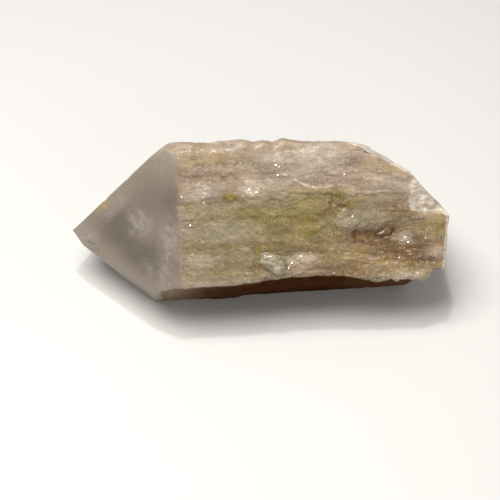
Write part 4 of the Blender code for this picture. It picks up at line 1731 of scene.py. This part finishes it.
@dataclass(frozen=True)
class MilkyStone:
    """The milky quartz of the main crystal, with its satin point, its stains and its fresh breaks.

    Attributes:
        name: The material's name.
        gloss: Least and most roughness of the sides.
        satin_gloss: Roughness of the point's faces.
        bumps: How strong its relief is.
        shine: How strongly it reflects.
        depth: How much of its light comes from under the surface.
    """

    name: str = "milky_quartz_stone"
    gloss: tuple[float, float] = (0.18, 0.42)
    bumps: float = 1.0
    shine: float = 0.5
    depth: float = 0.5
    body: Colour = paint(157, 142, 127)
    body_dim: Colour = paint(145, 128, 107)
    olive: Colour = paint(117, 98, 51)
    satin: Colour = paint(128, 116, 103)
    smoke: Colour = paint(92, 82, 73)
    mist: Colour = paint(141, 133, 123)
    cloud: Colour = paint(127, 117, 90)
    green: Colour = paint(116, 99, 30)
    umber: Colour = paint(104, 80, 32)
    rust: Colour = paint(98, 66, 20)
    pink: Colour = paint(160, 122, 94)
    pale: Colour = paint(208, 194, 178)
    veil: Colour = paint(168, 162, 146)
    amber: Colour = paint(170, 140, 80)
    crevice: Colour = paint(92, 70, 28)
    crack: Colour = paint(44, 30, 12)
    # The underside's dark red-brown: partly its rust stain, partly painted shade.
    under: Colour = paint(54, 24, 5)
    fresh: Colour = paint(206, 195, 180)
    satin_gloss: float = 0.42

    def material(self) -> bpy.types.Material:
        """Builds the material: colours laid over each other, milky depth, satin gloss, fine relief."""
        tree = Tree(self.name)
        satin = tree.tint(Tint.SATIN)
        stony = tree.span(satin, 0.0, 1.0, 1.0, 0.0)
        rising = tree.noise(1.7, 2.2, 3.5, 0.5)
        colour = self.ground(tree, satin)
        colour = self.stained(tree, colour, stony)
        colour = self.marked(tree, colour, stony, rising)
        self.polish(tree, satin)
        normal = self.relief(tree, stony, rising)
        tree.use({"Base Color": self.dusted(tree, colour, satin), "Normal": normal})
        return tree.material

    def ground(self, tree: Tree, satin: Socket) -> Socket:
        """The colours of the stone itself: milky, olive, and the point's satin, smoke and mist."""
        mottle = tree.span(tree.noise(5.0, 2.4), 0.38, 0.62)
        colour = tree.blend(mottle, self.body_dim, self.body)
        colour = tree.blend(satin, colour, self.satin)
        colour = tree.blend(tree.tint(Tint.OLIVE), colour, self.olive)
        colour = tree.blend(tree.tint(Tint.SMOKE), colour, self.smoke)
        wisps = tree.span(tree.noise(2.2, 1.0, 6.0, 0.62), 0.36, 0.62, 0.25, 1.25)
        mist = tree.clamped(tree.times(tree.tint(Tint.MIST), satin, wisps))
        return tree.blend(mist, colour, self.mist)

    def stained(self, tree: Tree, colour: Socket, stony: Socket) -> Socket:
        """The stains, broken up by a grain, then milky veils and soft clouds over them."""
        layers = (
            (Tint.DIM, self.body_dim, 0.6),
            (Tint.AMBER, self.amber, 0.85),
            (Tint.PINK, self.pink, 0.75),
            (Tint.GREEN, self.green, 1.2),
            (Tint.CLOUD, self.cloud, 0.85),
            (Tint.UMBER, self.umber, 1.15),
            (Tint.RUST, self.rust, 1.35),
            (Tint.PALE, self.pale, 0.9),
            (Tint.FRESH, self.fresh, 0.88),
        )
        broken_up = tree.span(tree.noise(0.9, 2.6, 5.0, 0.6), 0.3, 0.62, 0.6, 1.15)
        for tint, pigment, strength in layers:
            share = tree.clamped(tree.times(tree.tint(tint), broken_up))
            colour = tree.blend(tree.times(share, strength), colour, pigment)
        veil = tree.times(tree.tint(Tint.MIST), stony, 0.3)
        colour = tree.blend(veil, colour, self.veil)
        plain = tree.less(stony, tree.tint(Tint.MIST), 0.6)
        plain = tree.clamped(tree.less(plain, tree.tint(Tint.FRESH), 0.6))
        for size, least, most in ((3.2, -0.17, 0.15), (1.3, -0.09, 0.08)):
            cloudy = tree.span(tree.noise(size, 2.1, 3.0, 0.5), 0.34, 0.66, least, most)
            colour = tree.shade(colour, tree.times(cloudy, plain))
        return colour

    def marked(self, tree: Tree, colour: Socket, stony: Socket, rising: Socket) -> Socket:
        """The fine marks: dark seams, painted highlight lines, a glassy grain, crevices, cracks, the
        underside's stain and painted shade.
        """
        near_seams = tree.span(tree.noise(4.0, 1.6, 2.0), 0.46, 0.6)
        seam = tree.times(tree.ridge(rising, 0.016, 0.003), near_seams, stony, 0.5)
        colour = tree.blend(seam, colour, self.crevice)
        # Thin pale lines along the scales, in patches: painted highlights.
        near_highlight_lines = tree.span(tree.noise(3.1, 1.9, 3.0), 0.48, 0.62)
        painted_highlight_line = tree.ridge(tree.noise(0.8, 2.6, 3.0, 0.5), 0.022, 0.006)
        colour = tree.blend(tree.times(painted_highlight_line, near_highlight_lines, stony, 0.35), colour, self.pale)
        clean = tree.span(tree.tint(Tint.DULL), 0.0, 1.0, 1.0, 0.35)
        grainy = tree.times(tree.span(tree.noise(3.4, 1.8, 3.0), 0.42, 0.62), stony, clean)
        speck = tree.noise(0.3, 1.8, 2.0)
        specks = ((0.54, 0.68, 0.5, self.crevice), (0.46, 0.32, 0.45, self.pale))
        for low, high, strength, pigment in specks:
            share = tree.times(tree.span(speck, low, high, 0.0, strength), grainy)
            colour = tree.blend(share, colour, pigment)
        # Crevices and cracks are stains; the underside's dark is partly rust stain, partly painted
        # shade.
        depths = (
            (Tint.CREVICE, self.crevice, 0.5),
            (Tint.CRACK, self.crack, 0.75),
            (Tint.UNDER, self.under, 0.97),
        )
        for tint, pigment, strength in depths:
            colour = tree.blend(tree.times(tree.tint(tint), strength), colour, pigment)
        return colour

    def dusted(self, tree: Tree, colour: Socket, satin: Socket) -> Socket:
        """A little pale dust and a faint unevenness on the satin faces."""
        dust = tree.times(tree.span(tree.noise(0.35, 1.0, 2.0), 0.5, 0.75), satin, 0.16)
        colour = tree.blend(dust, colour, self.pale)
        faint = tree.span(tree.noise(0.6, 1.0, 3.0), 0.35, 0.65, -0.05, 0.05)
        return tree.shade(colour, tree.times(faint, satin))

    def polish(self, tree: Tree, satin: Socket) -> None:
        """Sets the gloss, satin on the point and dull on the underside's stain and painted shade and
        where unseen, and the depth.
        """
        gloss = tree.span(tree.noise(1.3, 2.0, 3.0), 0.36, 0.64, *self.gloss)
        skin = tree.add("Mix", {"Factor": satin, 2: gloss, 3: self.satin_gloss}).outputs[0]
        dull = tree.times(tree.tint(Tint.UNDER), 0.4)
        dull = tree.math("ADD", dull, tree.times(tree.tint(Tint.DULL), 0.2))
        tree.use(
            {
                "Roughness": tree.math("ADD", dull, skin),
                "IOR": QUARTZ_IOR,
                "Specular IOR Level": self.shine,
                "Coat Weight": 0.25 * self.shine,
                "Coat Roughness": 0.12,
                "Subsurface Weight": self.depth,
                "Subsurface Radius": (1.0, 0.84, 0.64),
                "Subsurface Scale": 2.4 * METRES_PER_MM,
            }
        )

    def relief(self, tree: Tree, stony: Socket, rising: Socket) -> Socket:
        """Bumps: small tilted flats, terraces where rising passes each level, fine ridges, a skin."""
        steps = tree.span(rising, 0.42, 0.435)
        for level in (0.495, 0.57):
            steps = tree.math("ADD", steps, tree.span(rising, level, level + 0.015))
        uneven = tree.clamped(tree.less(stony, tree.tint(Tint.CLOUD), 0.55))
        low = tree.bump(tree.times(tree.facets(0.6, 1.8), uneven), 0.13 * self.bumps)
        low = tree.bump(tree.times(steps, uneven), 0.08 * self.bumps, low)
        ridged = tree.times(tree.noise(0.32, 2.4, 3.0), uneven)
        fine = tree.bump(ridged, 0.09 * self.bumps, low)
        return tree.bump(tree.noise(0.16, 1.0, 2.0), 0.012, fine)


@dataclass(frozen=True)
class ClearStone:
    """The clearer quartz of single crystals: it lets light through, with a faint colour.

    Attributes:
        name: The material's name.
        colour: Its colour where it is clear.
        dim: Its colour where it is hazy.
        through: How much light passes through it.
        roughness: Its roughness where it is clear.
        frost: How much rougher it is where it is hazy.
        bump: How deep its skin's relief is, in millimetres.
        grain: How wide its hazy places are, in millimetres.
    """

    name: str = "clear_quartz"
    colour: Colour = paint(224, 214, 188)
    dim: Colour = paint(192, 180, 150)
    through: float = 0.75
    roughness: float = 0.10
    frost: float = 0.18
    bump: float = 0.05
    grain: float = 2.4

    def material(self) -> bpy.types.Material:
        """Builds the material: transmission at the index of quartz, hazy in places."""
        tree = Tree(self.name)
        haze = tree.noise(self.grain, 1.6, 3.0)
        frosted = self.roughness + self.frost
        tree.use(
            {
                "Base Color": tree.blend(tree.span(haze, 0.35, 0.65), self.colour, self.dim),
                "Roughness": tree.span(haze, 0.35, 0.7, self.roughness, frosted),
                "IOR": QUARTZ_IOR,
                "Transmission Weight": self.through,
                "Normal": tree.bump(tree.noise(0.8, 1.8, 3.0), self.bump),
            }
        )
        return tree.material


@dataclass
class Specimen:
    """The whole candle quartz: its core, its single crystals and the druses on it."""

    maker: Maker
    habit: Habit = field(default_factory=Habit)
    pieces: list[Piece] = field(default_factory=list)

    def finish_piece(self, piece: Piece, material: bpy.types.Material) -> Piece:
        """Dresses a piece and fixes it to the crystal's body."""
        piece.data.materials.append(material)
        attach(piece, ROOT)
        self.pieces.append(piece)
        LOG.info("%s: %d faces", piece.name, len(piece.data.polygons))
        return piece

    @staticmethod
    def stained(core: Piece, under: Array) -> None:
        """Gives the core's second material to the dull underside skin, painted with its stain and
        painted shade.
        """
        start = under[:-1].ravel() > 0.35
        index = np.zeros(len(core.data.polygons), np.int32)
        index[: start.size] = start
        core.data.polygons.foreach_set("material_index", index)

    def build(self) -> None:
        """Builds and dresses every piece."""
        clear = ClearStone(through=0.62).material()
        light, shade = paint(252, 244, 222), paint(176, 160, 124)
        glassy = ClearStone("glassy_quartz", light, shade, 0.74, 0.04, 0.08, 0.12, 1.3).material()
        brown, dark = paint(112, 78, 28), paint(88, 60, 20)
        amber = ClearStone("amber_quartz", brown, dark, 0.45, 0.07).material()
        skipped = (self.habit.grown.index(OVAL),)
        surface, poles = CrystalCore(self.habit).surface(skipped)
        shape = self.maker.closed_surface("quartz_core", surface, poles)
        core = self.finish_piece(shape, MilkyStone().material())
        # The underside's material: the same colours, with its stain and painted shade, dull and without
        # reflection.
        stained = MilkyStone("stained_shaded_quartz_stone", (0.6, 0.85), 1.0, 0.0, 0.1)
        core.data.materials.append(stained.material())
        self.stained(core, surface.tints[Tint.UNDER])
        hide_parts(NODE)
        hollow = Lump("front", 105.4, 16.6, 6.4, 2.6, -0.1, 24.0, 22)
        knob = Lump("front", 112.8, 14.2, 4.6, 2.8, 0.8, 10.0, 23)
        end_knob = Lump("front", 121.4, 18.6, 3.6, 2.4, 0.6, 50.0, 24)
        singles = (
            (LoneCrystal("glassy_oval", OVAL, edge=0.26, relief=0.14), glassy),
            (LoneCrystal("hollow_crystal", hollow, edge=0.16), amber),
            (LoneCrystal("glassy_knob", knob, edge=0.3), clear),
            (LoneCrystal("end_knob", end_knob, edge=0.25), clear),
        )
        for crystal, material in singles:
            piece = self.maker.closed_surface(crystal.name, *crystal.surface())
            self.finish_piece(piece, material)
        self.build_druses(surface)

    def build_druses(self, surface: Surface) -> None:
        """Builds the crowds of tiny points.

        Args:
            surface: The core's surface.
        """
        pale, dim = paint(212, 198, 180), paint(190, 174, 152)
        bright = ClearStone("bright_quartz", pale, dim, 0.4, 0.09, 0.06, 0.01).material()
        honey, tan = paint(206, 180, 136), paint(182, 150, 98)
        gold = ClearStone("golden_quartz", honey, tan, 0.4, 0.09, 0.06, 0.01).material()
        grown = MilkyStone("milky_quartz_druse", (0.08, 0.22), 0.25).material()
        a, v, height = SIDES["front"].local(surface.points)
        tints = surface.tints
        free = (blurred(tints[Tint.SATIN], 10) < 0.02) * (tints[Tint.FRESH] < 0.2) * (a < 123.0)
        free = free * (surface.points[..., 2] > 2.0) * (tints[Tint.UNDER] < 0.1)
        hollow = np.clip(HOLLOW.mask(a, v), 0.0, 1.0)
        on_front = smooth(FRONT_DEPTH, -1.5, height) * free * (1.0 - hollow)
        shown = on_front * (0.25 + coverage(LOW_RIGHT, a, v))
        knobs = on_front * coverage(KNOBS, a, v)
        golden = on_front * coverage(GOLDEN, a, v)
        clusters = smooth(0.0, 0.3, Noise(33).fractal(surface.points * 0.09, 2))
        hidden = free * (1.0 - on_front) * clusters
        crowds = {
            "front_druse": (Druse(420, (0.35, 0.85), sunk=0.28, seed=3), shown, grown),
            "knob_druse": (Druse(40, (0.4, 0.9), (1.1, 1.9), 0.36, 20.0, 5), knobs, bright),
            "golden_druse": (Druse(150, (0.3, 0.7), (1.2, 2.6), 0.3, 25.0, 6), golden, gold),
            "side_druse": (Druse(320, (0.6, 1.5), sunk=0.4, seed=4), hidden, grown),
        }
        for name, (druse, weight, material) in crowds.items():
            piece = druse.points(surface, weight + NEVER_NONE).build(self.maker, name, surface)
            self.finish_piece(piece, material)
        glints = Glints(self.maker.working(Studio.SPARK), Studio.eye())
        self.finish_piece(glints.points(surface).build(self.maker, "glint_crystals", surface), bright)


class Studio:
    """The plain pale floor, the soft light and the camera at the photograph's angle."""

    AIM = np.array([67.0, 15.0, 30.0])
    ELEVATION = 47.0
    AZIMUTH = -6.3
    ROLL = -3.0
    DISTANCE = 500.0
    FOCAL_PIXELS = 1424.0
    IMAGE = 500.0
    AIM_PIXEL = (263.2, 189.5)
    SPARK = (-0.05, 0.05, 0.75)
    LIT = (0.0, 0.0, 0.03)
    FLOOR_REACH = 4000.0
    FLOOR_COLOUR = (0.56, 0.555, 0.545, 1.0)
    ROOM_COLOUR = (1.0, 0.985, 0.96, 1.0)
    ROOM_LIGHT = 0.32

    def __init__(self, maker: Maker) -> None:
        """Takes the maker, which knows where the working frame lies."""
        self.maker = maker

    @classmethod
    def back(cls) -> Array:
        """The direction from the aim point to the camera."""
        lift, swing = math.radians(cls.ELEVATION), math.radians(cls.AZIMUTH)
        return np.array(
            [math.sin(swing) * math.cos(lift), -math.cos(swing) * math.cos(lift), math.sin(lift)]
        )

    @classmethod
    def eye(cls) -> Array:
        """Where the camera stands, in the working frame."""
        return cls.AIM + cls.back() * cls.DISTANCE

    def camera(self) -> None:
        """Adds the camera.

        Formula: it stands DISTANCE from the aim point at the given angles. Its axis is then the ray
        through the middle of the image, so that the aim point falls on AIM_PIXEL with no lens shift.
        """
        swing, roll = math.radians(self.AZIMUTH), math.radians(self.ROLL)
        back = self.back()
        right = np.array([math.cos(swing), math.sin(swing), 0.0])
        up = np.cross(back, right)
        x_way = right * math.cos(roll) - up * math.sin(roll)
        y_way = right * math.sin(roll) + up * math.cos(roll)
        off_x = self.IMAGE / 2 - self.AIM_PIXEL[0]
        off_y = self.AIM_PIXEL[1] - self.IMAGE / 2
        forward = unit(-back + (x_way * off_x + y_way * off_y) / self.FOCAL_PIXELS)
        x_way = unit(x_way - forward * (x_way @ forward))
        y_way = np.cross(-forward, x_way)
        place = self.maker.placed(self.eye())
        data = bpy.data.cameras.new("photo_camera")
        data.lens = self.FOCAL_PIXELS * data.sensor_width / self.IMAGE
        data.clip_start = 0.01
        camera = bpy.data.objects.new("photo_camera", data)
        turn = Matrix([list(row) for row in np.column_stack([x_way, y_way, -forward])]).to_4x4()
        camera.matrix_world = Matrix.Translation(Vector(place)) @ turn
        bpy.context.scene.collection.objects.link(camera)
        bpy.context.scene.camera = camera

    def lamp(
        self, name: str, place: tuple[float, ...], size: float, power: float, tone: Colour
    ) -> None:
        """Adds a square lamp at a place in metres, turned to the crystal."""
        data = bpy.data.lights.new(name, "AREA")
        data.size = size
        data.energy = power
        data.color = tone
        lamp = bpy.data.objects.new(name, data)
        lamp.location = place
        way = Vector(self.LIT) - Vector(place)
        lamp.rotation_euler = way.to_track_quat("-Z", "Y").to_euler()
        bpy.context.scene.collection.objects.link(lamp)

    def floor(self) -> None:
        """Lays a wide pale floor under the crystal."""
        corners = np.array([[-1.0, -1.0], [1.0, -1.0], [1.0, 1.0], [-1.0, 1.0]]) * self.FLOOR_REACH
        points = np.column_stack([corners, np.zeros(4)]) - self.maker.shift * [1.0, 1.0, 0.0]
        floor = self.maker.mesh("studio_floor", points, [np.array([[0, 1, 2, 3]])], False)
        tree = Tree("studio_floor_pale")
        tree.use({"Base Color": self.FLOOR_COLOUR, "Roughness": 0.6})
        floor.data.materials.append(tree.material)

    def world(self) -> None:
        """Sets a pale, even surrounding light."""
        world = bpy.data.worlds.new("pale_room")
        bpy.context.scene.world = world
        world.use_nodes = True
        ground = world.node_tree.nodes["Background"]
        ground.inputs["Color"].default_value = self.ROOM_COLOUR
        ground.inputs["Strength"].default_value = self.ROOM_LIGHT

    def build(self) -> None:
        """Builds the whole studio."""
        bpy.context.scene.view_settings.view_transform = "Standard"
        self.camera()
        self.floor()
        self.world()
        self.lamp("key", (-0.16, -0.06, 0.62), 0.34, 5.2, (1.0, 0.97, 0.93))
        self.lamp("front_fill", (0.25, -0.7, 0.35), 0.5, 1.6, (1.0, 0.96, 0.9))
        self.lamp("spark", self.SPARK, 0.04, 1.5, (1.0, 1.0, 1.0))
        LOG.info("studio ready")


def corners(bounds: tuple[Vector, Vector]) -> list[list[float]]:
    """A box's lowest and highest corners as plain lists."""
    return [[float(value) for value in corner] for corner in bounds]


def main() -> None:
    """Loads the frame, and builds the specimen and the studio."""
    logging.basicConfig(level=logging.INFO, format="%(message)s")
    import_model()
    low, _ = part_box(NODE)
    maker = Maker(low.x / METRES_PER_MM, FRAME_SHIFT_Y)
    Studio(maker).build()
    Specimen(maker).build()


if __name__ == "__main__":
    main()
